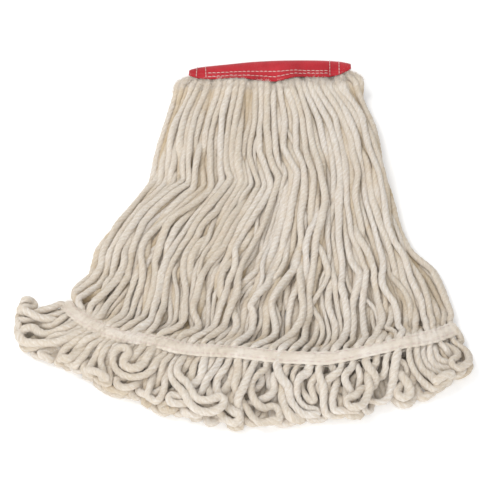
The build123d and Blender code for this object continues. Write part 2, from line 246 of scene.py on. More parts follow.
def smooth_noise(rng, n, step_mm, wave_mm):
    """1-D smooth noise of unit variance, n samples step_mm apart, feature size wave_mm."""
    m = max(4, int(n * step_mm / wave_mm) + 4)
    v = rng.standard_normal(m)
    x = np.linspace(1.0, m - 3.0, n)
    i = np.floor(x).astype(int)
    f = x - i
    p0, p1, p2, p3 = v[i - 1], v[i], v[np.minimum(i + 1, m - 1)], v[np.minimum(i + 2, m - 1)]
    return 0.5 * (2 * p1 + (p2 - p0) * f + (2 * p0 - 5 * p1 + 4 * p2 - p3) * f ** 2 + (3 * p1 - p0 - 3 * p2 + p3) * f ** 3)


def chaikin(p, rounds=2, cut=0.25):
    for _ in range(rounds):
        a = p[:-1] * (1 - cut) + p[1:] * cut
        b = p[:-1] * cut + p[1:] * (1 - cut)
        q = np.empty((2 * len(a), p.shape[1]))
        q[0::2], q[1::2] = a, b
        p = np.vstack([p[:1], q, p[-1:]])
    return p


def resample(p, step):
    d = np.r_[0, np.cumsum(np.linalg.norm(np.diff(p[:, :3], axis=0), axis=1))]
    n = max(2, int(round(d[-1] / step)) + 1)
    s = np.linspace(0, d[-1], n)
    return np.stack([np.interp(s, d, p[:, c]) for c in range(p.shape[1])], 1)


def guide(u, k):
    """Plan point at line position u (0..15) and whole station k, smooth across the lines."""
    u = np.clip(u, 0, 15)
    i = int(min(math.floor(u), 14))
    f = u - i
    p1, p2 = Q[i, k], Q[i + 1, k]
    p0 = Q[i - 1, k] if i > 0 else 2 * p1 - p2
    p3 = Q[i + 2, k] if i < 14 else 2 * p2 - p1
    cr = 0.5 * (2 * p1 + (p2 - p0) * f + (2 * p0 - 5 * p1 + 4 * p2 - p3) * f ** 2 + (3 * p1 - p0 - 3 * p2 + p3) * f ** 3)
    return 0.5 * cr + 0.5 * (p1 * (1 - f) + p2 * f)


def tail_dir(u):
    d = guide(u, 13) - guide(u, 11)
    return d / np.linalg.norm(d)


STEP = 4.0
R_BAND, R_FREE = 2.25, 3.35
N_FRONT, N_BACK = 56, 52
N_INNER = 52          # yarns of the front half that run under the ones seen
TAIL_Z = 0.75         # where the tailband holds the yarns, between the sheet's bottom and top


def band_radius(kf, inner):
    """The yarns are squeezed thin inside the headband, the inner ones most."""
    r0, span = (1.2, 2.0) if inner else (R_BAND, 0.9)
    return r0 + (R_FREE - r0) * np.clip((kf - 1.0) / span, 0, 1)


def swell_at(u):
    """Plan point and top height of the nodes' swell below the headband, on line u."""
    g = np.arange(16)
    return np.array([np.interp(u, g, SWELL[:, 0]), np.interp(u, g, SWELL[:, 1])]), np.interp(u, g, SWELL_Z)


def crest_at(x):
    return np.interp(x, BAND_XS, CREST_AT)


def edge_at(x):
    return np.interp(x, BAND_XS, EDGE_AT)


TIGHT = math.radians(20)


def turn_at(a, b, c):
    """How much the way turns at b, in radians."""
    d = math.atan2(c[1] - b[1], c[0] - b[0]) - math.atan2(b[1] - a[1], b[0] - a[0])
    return abs((d + math.pi) % (2 * math.pi) - math.pi)


def strand_plan(u, sheet, jit):
    """Rounded plan path with station values: columns x, y, kf."""
    pts = []
    for k in range(1, K_TAIL + 1):
        p = guide(u, k)
        if k == K_TAIL:
            d = tail_dir(u)
            pts.append([*(p - d * 9), k - 0.45])
        if 4 <= k <= 10:       # the bends differ from yarn to yarn
            q = guide(u, k - 1) if jit[k - 4] < 0 else guide(u, k + 1)
            p = p + (q - p) * min(0.42, abs(jit[k - 4]) / (np.linalg.norm(q - p) + 1e-6))
        pts.append([p[0], p[1], k])
        if k == 1:             # out over the swell just below the headband
            pts.append([*swell_at(u)[0], 1.2])
    pts = np.array(pts)
    if sheet == "front":       # a tight bend keeps its corner through the rounding
        out = []
        for i, p in enumerate(pts):
            if 0 < i < len(pts) - 1 and 2 < p[2] < K_TAIL - 1 and turn_at(pts[i - 1], p, pts[i + 1]) > TIGHT:
                for q, e in ((pts[i - 1], 0), (pts[i + 1], 1)):
                    L = np.linalg.norm(q[:2] - p[:2])
                    f = min(0.3, 7.0 / L)
                    m = p + (q - p) * f
                    if e == 0:
                        out.append(m)
                        out.append(p)
                    else:
                        out.append(m)
            else:
                out.append(p)
        pts = np.array(out)
    return chaikin(pts, 3, 0.25)


def flow(u, s):
    """Heading of the fringe on line u, s mm (an array) below the tailband, from the nodes' own lines."""
    p = np.array([guide(u, k) for k in (12, 13, 14, 15)])
    d = np.diff(p, axis=0)
    at = np.r_[0, np.cumsum(np.hypot(*d.T))]
    a = np.unwrap(np.arctan2(d[:, 1], d[:, 0]))
    return np.interp(s, (at[:-1] + at[1:]) / 2, a)


def loop_path(rng, a, b, d, zt, spec, u):
    """A loop of yarn from tail point a to tail point b. d is the way it leaves. spec: length, k0, k1, half width, tip, dz."""
    L, c0, c1, hw, tip, lift = spec
    mid = (a + b) / 2
    across = np.array([d[1], -d[0]])
    if np.dot(b - a, across) < 0:
        across = -across
    w0 = np.linalg.norm(b - a) / 2
    n = 24
    s = np.linspace(0, L, n)
    ang = np.cumsum(np.r_[0, (c0 + (c1 - c0) * (s[1:] / L)) * (L / (n - 1))])
    th0 = math.atan2(d[1], d[0])
    turn = flow(u, 9.0 + s) - th0
    turn -= 2 * math.pi * round(float(turn[0]) / (2 * math.pi))
    th = th0 + turn * np.clip(s / 14.0, 0, 1) + ang
    cx = mid[0] + np.cumsum(np.r_[0, np.cos(th[:-1]) * (L / (n - 1))])
    cy = mid[1] + np.cumsum(np.r_[0, np.sin(th[:-1]) * (L / (n - 1))])
    sgn = 1.0 if np.cross(np.r_[d, 0], np.r_[b - a, 0])[2] > 0 else -1.0
    q = s / L
    h = w0 + (hw - w0) * np.clip(q / 0.35, 0, 1) ** 0.8
    h = h + (tip - hw) * np.clip((q - 0.35) / 0.65, 0, 1)
    ins = q <= 1.0
    nx, ny = -np.sin(th), np.cos(th)
    left = np.c_[cx - sgn * nx * h, cy - sgn * ny * h]
    right = np.c_[cx + sgn * nx * h, cy + sgn * ny * h]
    cap = []
    for t in np.linspace(0, math.pi, 9)[1:-1]:
        cap.append([cx[-1] + tip * (math.sin(t) * math.cos(th[-1]) - sgn * math.cos(t) * nx[-1]),
                    cy[-1] + tip * (math.sin(t) * math.sin(th[-1]) - sgn * math.cos(t) * ny[-1])])
    xy = np.vstack([left, np.array(cap), right[::-1]])
    m = len(xy)
    e = np.minimum(np.arange(m), np.arange(m)[::-1]) / (m / 2.0)
    z = zt + (3.2 + lift - zt) * np.clip(e * 1.3, 0, 1) ** 1.2
    z = z + 2.0 * np.sin(np.clip(e * 3, 0, 1) * math.pi) * (lift > 2)
    # the yarn has kept a crimp from its twist
    t = np.gradient(xy, axis=0)
    t /= np.linalg.norm(t, axis=1)[:, None] + 1e-9
    wave = 2.6 * smooth_noise(rng, m, L / n, 15) + 1.8 * smooth_noise(rng, m, L / n, 34)
    xy = xy + np.c_[-t[:, 1], t[:, 0]] * (wave * np.clip(e * 4, 0, 1))[:, None]
    z = z + 1.2 * np.abs(smooth_noise(rng, m, L / n, 18)) * np.clip(e * 4, 0, 1)
    return np.c_[xy, z]


def build_chain(rng, sheet, ua, ub, layers, spec, lock, inner=False):
    """Fold -> strand a -> loop -> strand b -> fold, as nodes about STEP apart."""
    legs = []
    for u, layer, leg in ((ua, layers[0], 0), (ub, layers[1], 1)):
        pl = strand_plan(u, sheet, rng.normal(0, 1, 7) * (4.5, 5.0, 6.0, 7.5, 8.0, 8.0, 7.0))
        pl = resample(pl, STEP)
        n = len(pl)
        kf = pl[:, 2]
        t = np.gradient(pl[:, :2], axis=0)
        t /= np.linalg.norm(t, axis=1)[:, None] + 1e-9
        nrm = np.c_[-t[:, 1], t[:, 0]]
        free = np.clip((kf - 1.1) / 1.2, 0, 1) * np.clip((12.0 - kf) / 1.2, 0, 1)
        mess = np.interp(kf, [0, 5.5, 8.0, 10.5, 12], [1.0, 1.1, 2.1, 2.7, 1.3])
        mess = 1 + (mess - 1) * rng.uniform(0.5, 1.5)
        locks = np.stack([np.interp(u, np.arange(len(lock)) / (len(lock) - 1) * 15, lock[:, j]) for j in range(lock.shape[1])])
        lk = np.interp(kf, np.linspace(0, 12, len(locks)), locks)
        off = (1.9 * lk + 1.25 * smooth_noise(rng, n, STEP, 62) + 0.85 * smooth_noise(rng, n, STEP, 24)) * free * mess
        stray = np.zeros(n)
        if sheet == "front" and not inner and rng.random() < 0.35:
            # some yarns lie across their neighbours above the tailband
            stray = np.exp(-((kf - rng.uniform(8.0, 10.4)) / rng.uniform(0.8, 1.35)) ** 2) * free
            off = off + rng.choice([-1, 1]) * rng.uniform(6, 16) * stray
        xy = pl[:, :2] + nrm * off[:, None]
        bot, top = zrange(sheet, u, kf)
        r = band_radius(kf, inner)
        zl, zu = bot + r, top - r
        flat_out = np.clip((kf - 11.3) / 0.5, 0, 1)
        z = zl + (zu - zl) * (layer * (1 - flat_out) + (0.0 if inner else TAIL_Z) * flat_out)
        z = z + 4.5 * stray
        rad_in = 5.25 if layer < 0.5 else 8.1
        if sheet == "back":
            rad_in = 8.1 if layer < 0.5 else 5.25
        zi = MID_Z + rad_in * (1 if sheet == "front" else -1)
        wi = np.clip((kf - 1.0) / 0.5, 0, 1)
        z = zi * (1 - wi) + z * wi
        # the turn round the fold
        x0 = xy[0, 0]
        crest, low = float(crest_at(x0)), float(edge_at(x0))
        cy = crest - FOLD_R
        arc = []
        for a in np.linspace(3, 90, 5):
            a = math.radians(a)
            arc.append([x0, cy + rad_in * math.cos(a), MID_Z + rad_in * math.sin(a) * (1 if sheet == "front" else -1)])
        pre = np.array(arc)
        nodes = np.vstack([pre, np.c_[xy, z]])
        inside = np.clip((np.r_[np.zeros(len(pre)), kf] - 0.7) / 0.5, 0, 1)
        keep = np.clip(nodes[:, 0], BAND_X0 + 6.5, BAND_X1 - 6.5)
        nodes[:, 0] = keep * (1 - inside) + nodes[:, 0] * inside
        edge = np.exp(-max(0.0, min(x0 - BAND_X0, BAND_X1 - x0) - 3.0) / 9.0)
        up = np.clip((nodes[:len(pre), 1] - low) / (crest - low), 0, 1)
        nodes[:len(pre), 1] -= 1.8 * up
        nodes[:len(pre), 2] = MID_Z + (nodes[:len(pre), 2] - MID_Z) * (1 - 0.12 * edge)
        kk = np.r_[np.full(len(pre), 0.0), kf]
        legs.append((nodes, kk))
    A, B = legs
    a, b = A[0][-1], B[0][-1]
    d = tail_dir((ua + ub) / 2)
    zt = (a[2] + b[2]) / 2
    # both legs go on straight under the tape before the loop starts
    ea, eb = a[:2] + tail_dir(ua) * 9, b[:2] + tail_dir(ub) * 9
    lp = loop_path(rng, ea, eb, d, zt, spec, (ua + ub) / 2)
    lp = resample(chaikin(np.vstack([np.r_[a[:2] + tail_dir(ua) * 4, zt], lp, np.r_[b[:2] + tail_dir(ub) * 4, zt]]), 2, 0.25), STEP)
    nodes = np.vstack([A[0], lp, B[0][::-1]])
    kk = np.r_[A[1], np.full(len(lp), 13.0), B[1][::-1]]
    uu = np.r_[np.full(len(A[1]), ua), np.full(len(lp), (ua + ub) / 2), np.full(len(B[1]), ub)]
    return nodes, kk, uu, band_radius(kk, inner)


def layout(seed, sheet, n, lo, hi, specs, inner=False):
    rng = np.random.default_rng(seed)
    lock = rng.standard_normal((14, 11))
    us = np.round(lo + (hi - lo) * (np.arange(n) + 0.0) / (n - 1), 3)
    order = []
    i = 0
    while i < n:
        if i + 4 <= n:
            kind = rng.integers(0, 3)
            q = [i, i + 1, i + 2, i + 3]
            order += [[(q[0], q[1]), (q[2], q[3])], [(q[0], q[2]), (q[1], q[3])], [(q[0], q[3]), (q[1], q[2])]][kind]
            i += 4
        else:
            order.append((i, i + 1))
            i += 2
    lay = (np.arange(n) % 2).astype(float)
    flip = rng.random(n) < 0.18
    lay[flip] = 1 - lay[flip]
    if inner:
        lay[:] = 0.1
    chains = []
    for c, (ia, ib) in enumerate(order):
        spec = specs(rng, us[ia], us[ib])
        chains.append(build_chain(rng, sheet, us[ia], us[ib], (lay[ia], lay[ib]), spec, lock, inner))
    return chains


class Outline:
    """The plan outline of the CAD's strands and loops, as a field of distance to it, positive inside."""

    def __init__(self, cell=2.5):
        left = [Q[0, k] for k in range(1, 15)]
        end = [guide(u, 15) for u in np.linspace(0, 15, 61)]
        right = [Q[15, k] for k in range(14, 0, -1)]
        p = np.array(left + end + right)
        self.lo = p.min(0) - 30
        n = np.ceil((p.max(0) + 30 - self.lo) / cell).astype(int) + 1
        self.cell = cell
        gx, gy = np.meshgrid(np.arange(n[0]) * cell + self.lo[0], np.arange(n[1]) * cell + self.lo[1], indexing="ij")
        g = np.stack([gx.ravel(), gy.ravel()], 1)
        best = np.full(len(g), 1e9)
        inside = np.zeros(len(g), bool)
        for a, b in zip(p, np.roll(p, -1, 0)):
            d = b - a
            t = np.clip(((g - a) @ d) / (d @ d + 1e-9), 0, 1)
            best = np.minimum(best, np.hypot(*(g - a - t[:, None] * d).T))
            cross = (a[1] > g[:, 1]) != (b[1] > g[:, 1])
            x = a[0] + (g[:, 1] - a[1]) / (d[1] if abs(d[1]) > 1e-9 else 1e-9) * d[0]
            inside ^= cross & (g[:, 0] < x)
        self.f = np.where(inside, best, -best).reshape(n)
        self.gx, self.gy = np.gradient(self.f, cell)

    def at(self, xy):
        q = (xy - self.lo) / self.cell
        i = np.clip(q.astype(int), 0, np.array(self.f.shape) - 2)
        f = np.clip(q - i, 0, 1)
        out = []
        for t in (self.f, self.gx, self.gy):
            a = t[i[:, 0], i[:, 1]] * (1 - f[:, 0]) + t[i[:, 0] + 1, i[:, 1]] * f[:, 0]
            b = t[i[:, 0], i[:, 1] + 1] * (1 - f[:, 0]) + t[i[:, 0] + 1, i[:, 1] + 1] * f[:, 0]
            out.append(a * (1 - f[:, 1]) + b * f[:, 1])
        return out


def tail_height(sheet, u):
    """Height of the yarns' middles where the tailband holds them."""
    bot, top = zrange(sheet, u, np.full_like(np.asarray(u, float), 12.0))
    return bot + R_FREE + (top - bot - 2 * R_FREE) * TAIL_Z


class TapeTop:
    """Height of the front tailband's upper face, as a field over the plan; loops that lie on it rest there."""

    def __init__(self, cell=2.0, half=8.0):
        us = np.linspace(0, 15, 900)
        mid = np.array([guide(u, K_TAIL) for u in us])
        d = np.array([tail_dir(u) for u in us])
        z = tail_height("front", us) + R_FREE + 0.9
        self.cell, self.lo = cell, mid.min(0) - 20
        n = np.ceil((mid.max(0) + 20 - self.lo) / cell).astype(int) + 1
        self.f = np.full(n, -99.0)
        for v in np.linspace(-half, half, 17):
            i = ((mid + d * v - self.lo) / cell).astype(int)
            np.maximum.at(self.f, (i[:, 0], i[:, 1]), z)

    def at(self, xy):
        i = ((xy - self.lo) / self.cell).astype(int)
        ok = ((i >= 0) & (i < self.f.shape)).all(1)
        i = np.clip(i, 0, np.array(self.f.shape) - 1)
        return np.where(ok, self.f[i[:, 0], i[:, 1]], -99.0)


def relax(chains, iters, seed):
    """Position-based relaxation: yarns settle on the floor and each other and don't pass through."""
    pos = np.vstack([c[0] for c in chains])
    kf = np.concatenate([c[1] for c in chains])
    uu = np.concatenate([c[2] for c in chains])
    cid = np.concatenate([np.full(len(c[0]), i) for i, c in enumerate(chains)])
    sheet = np.concatenate([np.full(len(c[0]), c[4]) for c in chains])
    N = len(pos)
    idx = np.arange(N)
    prv = np.where(np.r_[-1, cid[:-1]] == cid, idx - 1, idx)
    nxt = np.where(np.r_[cid[1:], -1] == cid, idx + 1, idx)
    outline = Outline()

    def hold_in(p, inset):
        d, gx, gy = outline.at(p[:, :2])
        m = np.hypot(gx, gy) + 1e-6
        out = np.clip(inset - d, 0, 40)
        return np.stack([gx / m * out, gy / m * out], 1)
    r_in = np.concatenate([c[3] for c in chains])
    free = (kf > 1.6) & ~((np.abs(kf - 12.0) < 0.5) & (kf < 12.9))
    # loops that would run past the outline are laid back inside it
    for _ in range(6):
        pos[:, :2] += hold_in(pos, r_in) * (free & (kf > 12.9))[:, None]
    goal = pos.copy()
    r_full = np.concatenate([c[3] for c in chains]) - 0.1 * np.clip(kf - 1.0, 0, 1)
    hidden = np.concatenate([np.full(len(c[0]), c[5]) for c in chains])
    r_full = r_full * np.where(hidden & (kf < 11.5), 0.72, 1.0)       # the inner yarns are squashed by those over them
    pin = (kf <= 1.15).astype(float)
    tail = (np.abs(kf - 12.0) < 0.5) & (kf < 12.9)
    pin = np.maximum(pin, tail * 1.0)
    w = 1.0 - pin
    tape = TapeTop()
    # the part of a loop that is clear of the tailband may lie back over it
    order = np.concatenate([np.arange(len(c[0])) for c in chains])
    first, last = np.full(len(chains), 10 ** 9), np.zeros(len(chains), int)
    lp = kf > 12.9
    np.minimum.at(first, cid[lp], order[lp])
    np.maximum.at(last, cid[lp], order[lp])
    over = np.where(lp & (sheet == 1) & (np.minimum(order - first[cid], last[cid] - order) >= 5))[0]
    away = np.where(lp, np.minimum(order - first[cid], last[cid] - order), 0)
    r_full = r_full * (1 + 0.11 * np.clip((away - 2) / 4, 0, 1))       # the loops are softer than the tight strands
    rest = np.linalg.norm(pos[nxt] - pos, axis=1)
    seg = np.where(nxt != idx)[0]
    par = (seg - np.searchsorted(cid, cid[seg])) % 2
    segs = [seg[par == 0], seg[par == 1]]
    for it in range(iters):
        g = it / iters
        grow = min(1.0, 0.45 + 0.55 * g / 0.45)
        r = r_full * grow
        # gravity
        fall = 0.22 * (1 - 0.75 * g)
        pos[:, 2] -= fall * w
        if it % 4 == 0:
            h = 7.6
            c = np.floor((pos - pos.min(0)) / h).astype(np.int64) + 1
            ny, nz = c[:, 1].max() + 3, c[:, 2].max() + 3
            key = (c[:, 0] * ny + c[:, 1]) * nz + c[:, 2]
            o = np.argsort(key, kind="stable")
            ks = key[o]
            I, J = [], []
            for dx in (0, 1):
                for dy in (-1, 0, 1):
                    for dz in (-1, 0, 1):
                        if (dx, dy, dz) < (0, 0, 0):
                            continue
                        t = key + (dx * ny + dy) * nz + dz
                        s0 = np.searchsorted(ks, t, "left")
                        s1 = np.searchsorted(ks, t, "right")
                        cnt = s1 - s0
                        ii = np.repeat(idx, cnt)
                        if not len(ii):
                            continue
                        st = np.repeat(s0 - np.r_[0, np.cumsum(cnt)[:-1]], cnt)
                        jj = o[st + np.arange(len(ii))]
                        if (dx, dy, dz) == (0, 0, 0):
                            k = ii < jj
                            ii, jj = ii[k], jj[k]
                        I.append(ii)
                        J.append(jj)
            I, J = np.concatenate(I), np.concatenate(J)
            near = (cid[I] == cid[J]) & (np.abs(I - J) <= 3)
            k = ~near & ((w[I] + w[J]) > 0)
            I, J = I[k], J[k]
            dd = np.linalg.norm(pos[I] - pos[J], axis=1)
            k = dd < (r_full[I] + r_full[J]) + 1.2
            I, J = I[k], J[k]
        d = pos[I] - pos[J]
        dist = np.sqrt((d * d).sum(1)) + 1e-6
        pen = (r[I] + r[J]) - dist
        k = pen > 0
        i2, j2, d2, pen2, dist2 = I[k], J[k], d[k], pen[k], dist[k]
        ws = w[i2] + w[j2] + 1e-9
        f = (pen2 / dist2 * 0.62 / ws)[:, None] * d2
        mi, mj = f * w[i2][:, None], f * w[j2][:, None]
        acc = np.zeros((N, 3))
        for ax in range(3):
            acc[:, ax] = np.bincount(i2, mi[:, ax], N) - np.bincount(j2, mj[:, ax], N)
        num = np.bincount(i2, minlength=N) + np.bincount(j2, minlength=N)
        acc /= np.maximum(1.0, num ** 0.6)[:, None]
        m = np.linalg.norm(acc, axis=1)
        acc *= np.minimum(1.0, 0.9 / (m + 1e-9))[:, None]
        pos += acc
        # floor
        low = pos[:, 2] < r
        pos[:, 2] = np.where(low & (w > 0), r, pos[:, 2])
        up = tape.at(pos[over, :2]) + r[over]
        pos[over, 2] = np.where(pos[over, 2] < up, pos[over, 2] + 0.5 * (up - pos[over, 2]), pos[over, 2])
        if it % 2 == 0:
            pos[:, :2] += hold_in(pos, r_in * 0.9) * (0.8 * free)[:, None]
        # keep segment lengths
        for s in segs:
            e = pos[s + 1] - pos[s]
            L = np.sqrt((e * e).sum(1)) + 1e-9
            ww = w[s] + w[s + 1] + 1e-9
            cc = ((L - rest[s]) / L / ww * 0.7)[:, None] * e
            pos[s] += cc * w[s][:, None]
            pos[s + 1] -= cc * w[s + 1][:, None]
        # bending: smooth the displacement from the laid shape, and keep near it in plan
        dsp = pos - goal
        av = (dsp[prv] + dsp[nxt]) / 2
        dsp += (0.45 * w)[:, None] * (av - dsp)
        dsp[:, :2] *= (1 - np.where(kf < 11.5, 0.016, 0.006) * w)[:, None]
        pos = goal + dsp
    # where the yarns leave the headband they swell to the height of the nodes' swell there
    rg = np.random.default_rng(29)
    amp = np.interp(uu, np.linspace(0, 15, 90), 1 + 0.35 * smooth_noise(rg, 90, 1.9, 9))
    bulge = np.exp(-((kf - 1.2) / np.where(kf < 1.2, 0.16, 0.34)) ** 2) * (kf > 0.9) * (sheet == 1) * np.where(hidden, 0.85, 1.0)
    rise = np.interp(uu, np.arange(16), SWELL_Z) - (MID_Z + FOLD_R - 1.3)
    pos[:, 2] += np.clip(rise, 0, None) * 1.3 * bulge * amp
    r_full = r_full * (1 + 0.45 * bulge)
    return pos, cid, kf, uu, sheet, r_full


# ------------------------------------------------------------ tubes of yarn
def spline(nodes, extra, step):
    """Catmull-Rom through nodes, about step apart. extra holds per-node values to carry along."""
    n = len(nodes)
    d = np.r_[0, np.cumsum(np.linalg.norm(np.diff(nodes, axis=0), axis=1))]
    m = max(4, int(round(d[-1] / step)) + 1)
    s = np.linspace(0, d[-1], m)
    i = np.clip(np.searchsorted(d, s, "right") - 1, 0, n - 2)
    f = ((s - d[i]) / (d[i + 1] - d[i] + 1e-9))[:, None]
    p1, p2 = nodes[i], nodes[i + 1]
    p0 = np.where((i > 0)[:, None], nodes[np.maximum(i - 1, 0)], 2 * p1 - p2)
    p3 = np.where((i < n - 2)[:, None], nodes[np.minimum(i + 2, n - 1)], 2 * p2 - p1)
    p = 0.5 * (2 * p1 + (p2 - p0) * f + (2 * p0 - 5 * p1 + 4 * p2 - p3) * f ** 2 + (3 * p1 - p0 - 3 * p2 + p3) * f ** 3)
    ex = extra[i] * (1 - f) + extra[i + 1] * f
    return p, ex, s


def frames(p):
    """Parallel-transported normals and binormals along a path."""
    t = np.gradient(p, axis=0)
    t /= np.linalg.norm(t, axis=1)[:, None] + 1e-12
    n = np.empty_like(p)
    up = np.array([0.0, 0.0, 1.0])
    v = up - t[0] * np.dot(up, t[0])
    if np.linalg.norm(v) < 1e-3:
        v = np.array([1.0, 0, 0]) - t[0] * t[0][0]
    n[0] = v / np.linalg.norm(v)
    for i in range(1, len(p)):
        v = n[i - 1] - t[i] * np.dot(n[i - 1], t[i])
        n[i] = v / (np.linalg.norm(v) + 1e-12)
    return t, n, np.cross(t, n)


PLY_D, PLY_R = 0.46, 0.56
ROUND = 16


def ply_section(phi, lobes=4, soft=0.0):
    """Radius of a twisted yarn's outline, lobes plies, at ply angle phi. 1 at the top of a ply."""
    a = (phi + math.pi / lobes) % (2 * math.pi / lobes) - math.pi / lobes
    r = PLY_D * np.cos(a) + np.sqrt(np.maximum(PLY_R ** 2 - (PLY_D * np.sin(a)) ** 2, 0))
    r = r / (PLY_D + PLY_R)
    return r * (1 - soft) + soft


def yarn_mesh(rng, nodes, rad, deep, step=1.35, rnd=ROUND, pitch=26.0, tint=0.5, soft=0.42):
    ex = np.c_[rad, deep]
    p, ex, s = spline(nodes, ex, step)
    t, n, b = frames(p)
    m = len(p)
    r = ex[:, 0] * (1 + 0.04 * smooth_noise(rng, m, step, 10) + 0.08 * smooth_noise(rng, m, step, 42))
    flat = 1 + 0.10 * np.abs(smooth_noise(rng, m, step, 35))
    tilt = 0.8 * smooth_noise(rng, m, step, 70)
    tw = s / pitch * 2 * math.pi * (1 + 0.0) + 0.5 * smooth_noise(rng, m, step, 40) + rng.uniform(0, 6.28)
    th = np.arange(rnd) / rnd * 2 * math.pi
    phi = th[None, :] - tw[:, None]
    rr = ply_section(phi)
    groove = 1 - (rr - rr.min()) / (rr.max() - rr.min())
    rr = (rr * (1 - soft) + soft) * r[:, None]
    # a yarn lies a little flatter than round
    rr = rr * (1 + (flat[:, None] - 1) * -np.cos(2 * (th[None, :] - tilt[:, None])))
    fl = np.stack([smooth_noise(rng, m, step, 3.4) for _ in range(rnd // 2)], 1)
    rr = rr * (1 + 0.022 * (np.repeat(fl, 2, 1) + np.roll(np.repeat(fl, 2, 1), 1, 1)) / 1.4)
    v = p[:, None, :] + rr[:, :, None] * (np.cos(th)[None, :, None] * n[:, None, :] + np.sin(th)[None, :, None] * b[:, None, :])
    yv = np.stack([np.cos(phi), np.sin(phi), np.broadcast_to((s / 10.0 + rng.uniform(0, 50))[:, None], phi.shape)], 2)
    i = np.arange(m - 1)[:, None] * rnd
    j = np.arange(rnd)[None, :]
    j2 = (j + 1) % rnd
    quads = np.stack([i + j, i + j2, i + rnd + j2, i + rnd + j], 2).reshape(-1, 4)
    under = 0.45 * np.exp(-(((p[:, None, 2] - v[..., 2]) / r[:, None] - 0.65) / 0.33) ** 2)     # painted shade: a tan tint on each yarn's lower flanks, where it turns away from the light and meets its neighbours
    v[..., 2] = np.maximum(v[..., 2], 0.15)        # it lies flat on the table, not in it
    verts = v.reshape(-1, 3)
    k = len(verts)
    verts = np.vstack([verts, p[:1], p[-1:]])
    tri0 = np.stack([np.full(rnd, k), (np.arange(rnd) + 1) % rnd, np.arange(rnd)], 1)
    base = (m - 1) * rnd
    tri1 = np.stack([np.full(rnd, k + 1), base + np.arange(rnd), base + (np.arange(rnd) + 1) % rnd], 1)
    at = {"yv": np.vstack([yv.reshape(-1, 3), yv[0, :1], yv[-1, :1]]),
          "tint": np.full(len(verts), tint),
          "deep": np.r_[np.clip(ex[:, 1:2] + under, 0, 1).reshape(-1), ex[0, 1], ex[-1, 1]],
          "groove": np.r_[groove.reshape(-1), 0.5, 0.5]}
    return verts, quads, np.vstack([tri0, tri1]), at


def hairs(rng, base, normal, n, short=1.2, long=4.0, w=0.085):
    """n loose fibres that stand off a surface, each a bent sliver."""
    i = rng.integers(0, len(base), n)

    def unit(a):
        return a / (np.linalg.norm(a, axis=1)[:, None] + 1e-9)
    d1 = unit(normal[i] * rng.uniform(0.2, 0.9, (n, 1)) + rng.standard_normal((n, 3)) * 0.6)
    d2 = unit(d1 + rng.standard_normal((n, 3)) * 0.6 - np.array([0, 0, 0.25]))
    ln = rng.uniform(short, long, (n, 1)) / 2
    p0 = base[i]
    p1 = p0 + d1 * ln
    p2 = p1 + d2 * ln
    side = unit(np.cross(d1, rng.standard_normal((n, 3)))) * w
    v = np.stack([p0 - side, p0 + side, p1 + side * 0.8, p1 - side * 0.8, p2], 1)
    v[..., 2] = np.clip(v[..., 2], 0.12, None)
    k = np.arange(n)[:, None] * 5
    at = {"yv": np.repeat(rng.uniform(-1, 1, (n, 3)), 5, 0), "tint": np.full(5 * n, 0.9), "deep": np.zeros(5 * n), "groove": np.zeros(5 * n)}
    return v.reshape(-1, 3), k + np.array([[0, 1, 2, 3]]), k + np.array([[3, 2, 4]]), at


def make_object(name, parts, scale=0.001):
    """One mesh object from several (verts, quads, tris, attributes)."""
    off = 0
    V, Qd, T, at = [], [], [], {}
    for v, q, t, a in parts:
        V.append(v)
        Qd.append(q + off)
        T.append(t + off)
        for k, x in a.items():
            at.setdefault(k, []).append(x)
        off += len(v)
    V, Qd, T = np.vstack(V) * scale, np.vstack(Qd), np.vstack(T)
    me = bpy.data.meshes.new(name)
    me.vertices.add(len(V))
    me.vertices.foreach_set("co", V.astype(np.float32).ravel())
    nl = Qd.size + T.size
    me.loops.add(nl)
    me.loops.foreach_set("vertex_index", np.r_[Qd.ravel(), T.ravel()].astype(np.int32))
    me.polygons.add(len(Qd) + len(T))
    starts = np.r_[np.arange(len(Qd)) * 4, Qd.size + np.arange(len(T)) * 3]
    me.polygons.foreach_set("loop_start", starts.astype(np.int32))
    me.polygons.foreach_set("use_smooth", np.ones(len(starts), dtype=bool))
    me.update(calc_edges=True)
    me.validate()
    for k, x in at.items():
        x = np.concatenate(x)
        if x.ndim == 2:
            at_ = me.attributes.new(k, "FLOAT_VECTOR", "POINT")
            at_.data.foreach_set("vector", x.astype(np.float32).ravel())
        else:
            at_ = me.attributes.new(k, "FLOAT", "POINT")
            at_.data.foreach_set("value", x.astype(np.float32))
    ob = bpy.data.objects.new(name, me)
    bpy.context.scene.collection.objects.link(ob)
    return ob


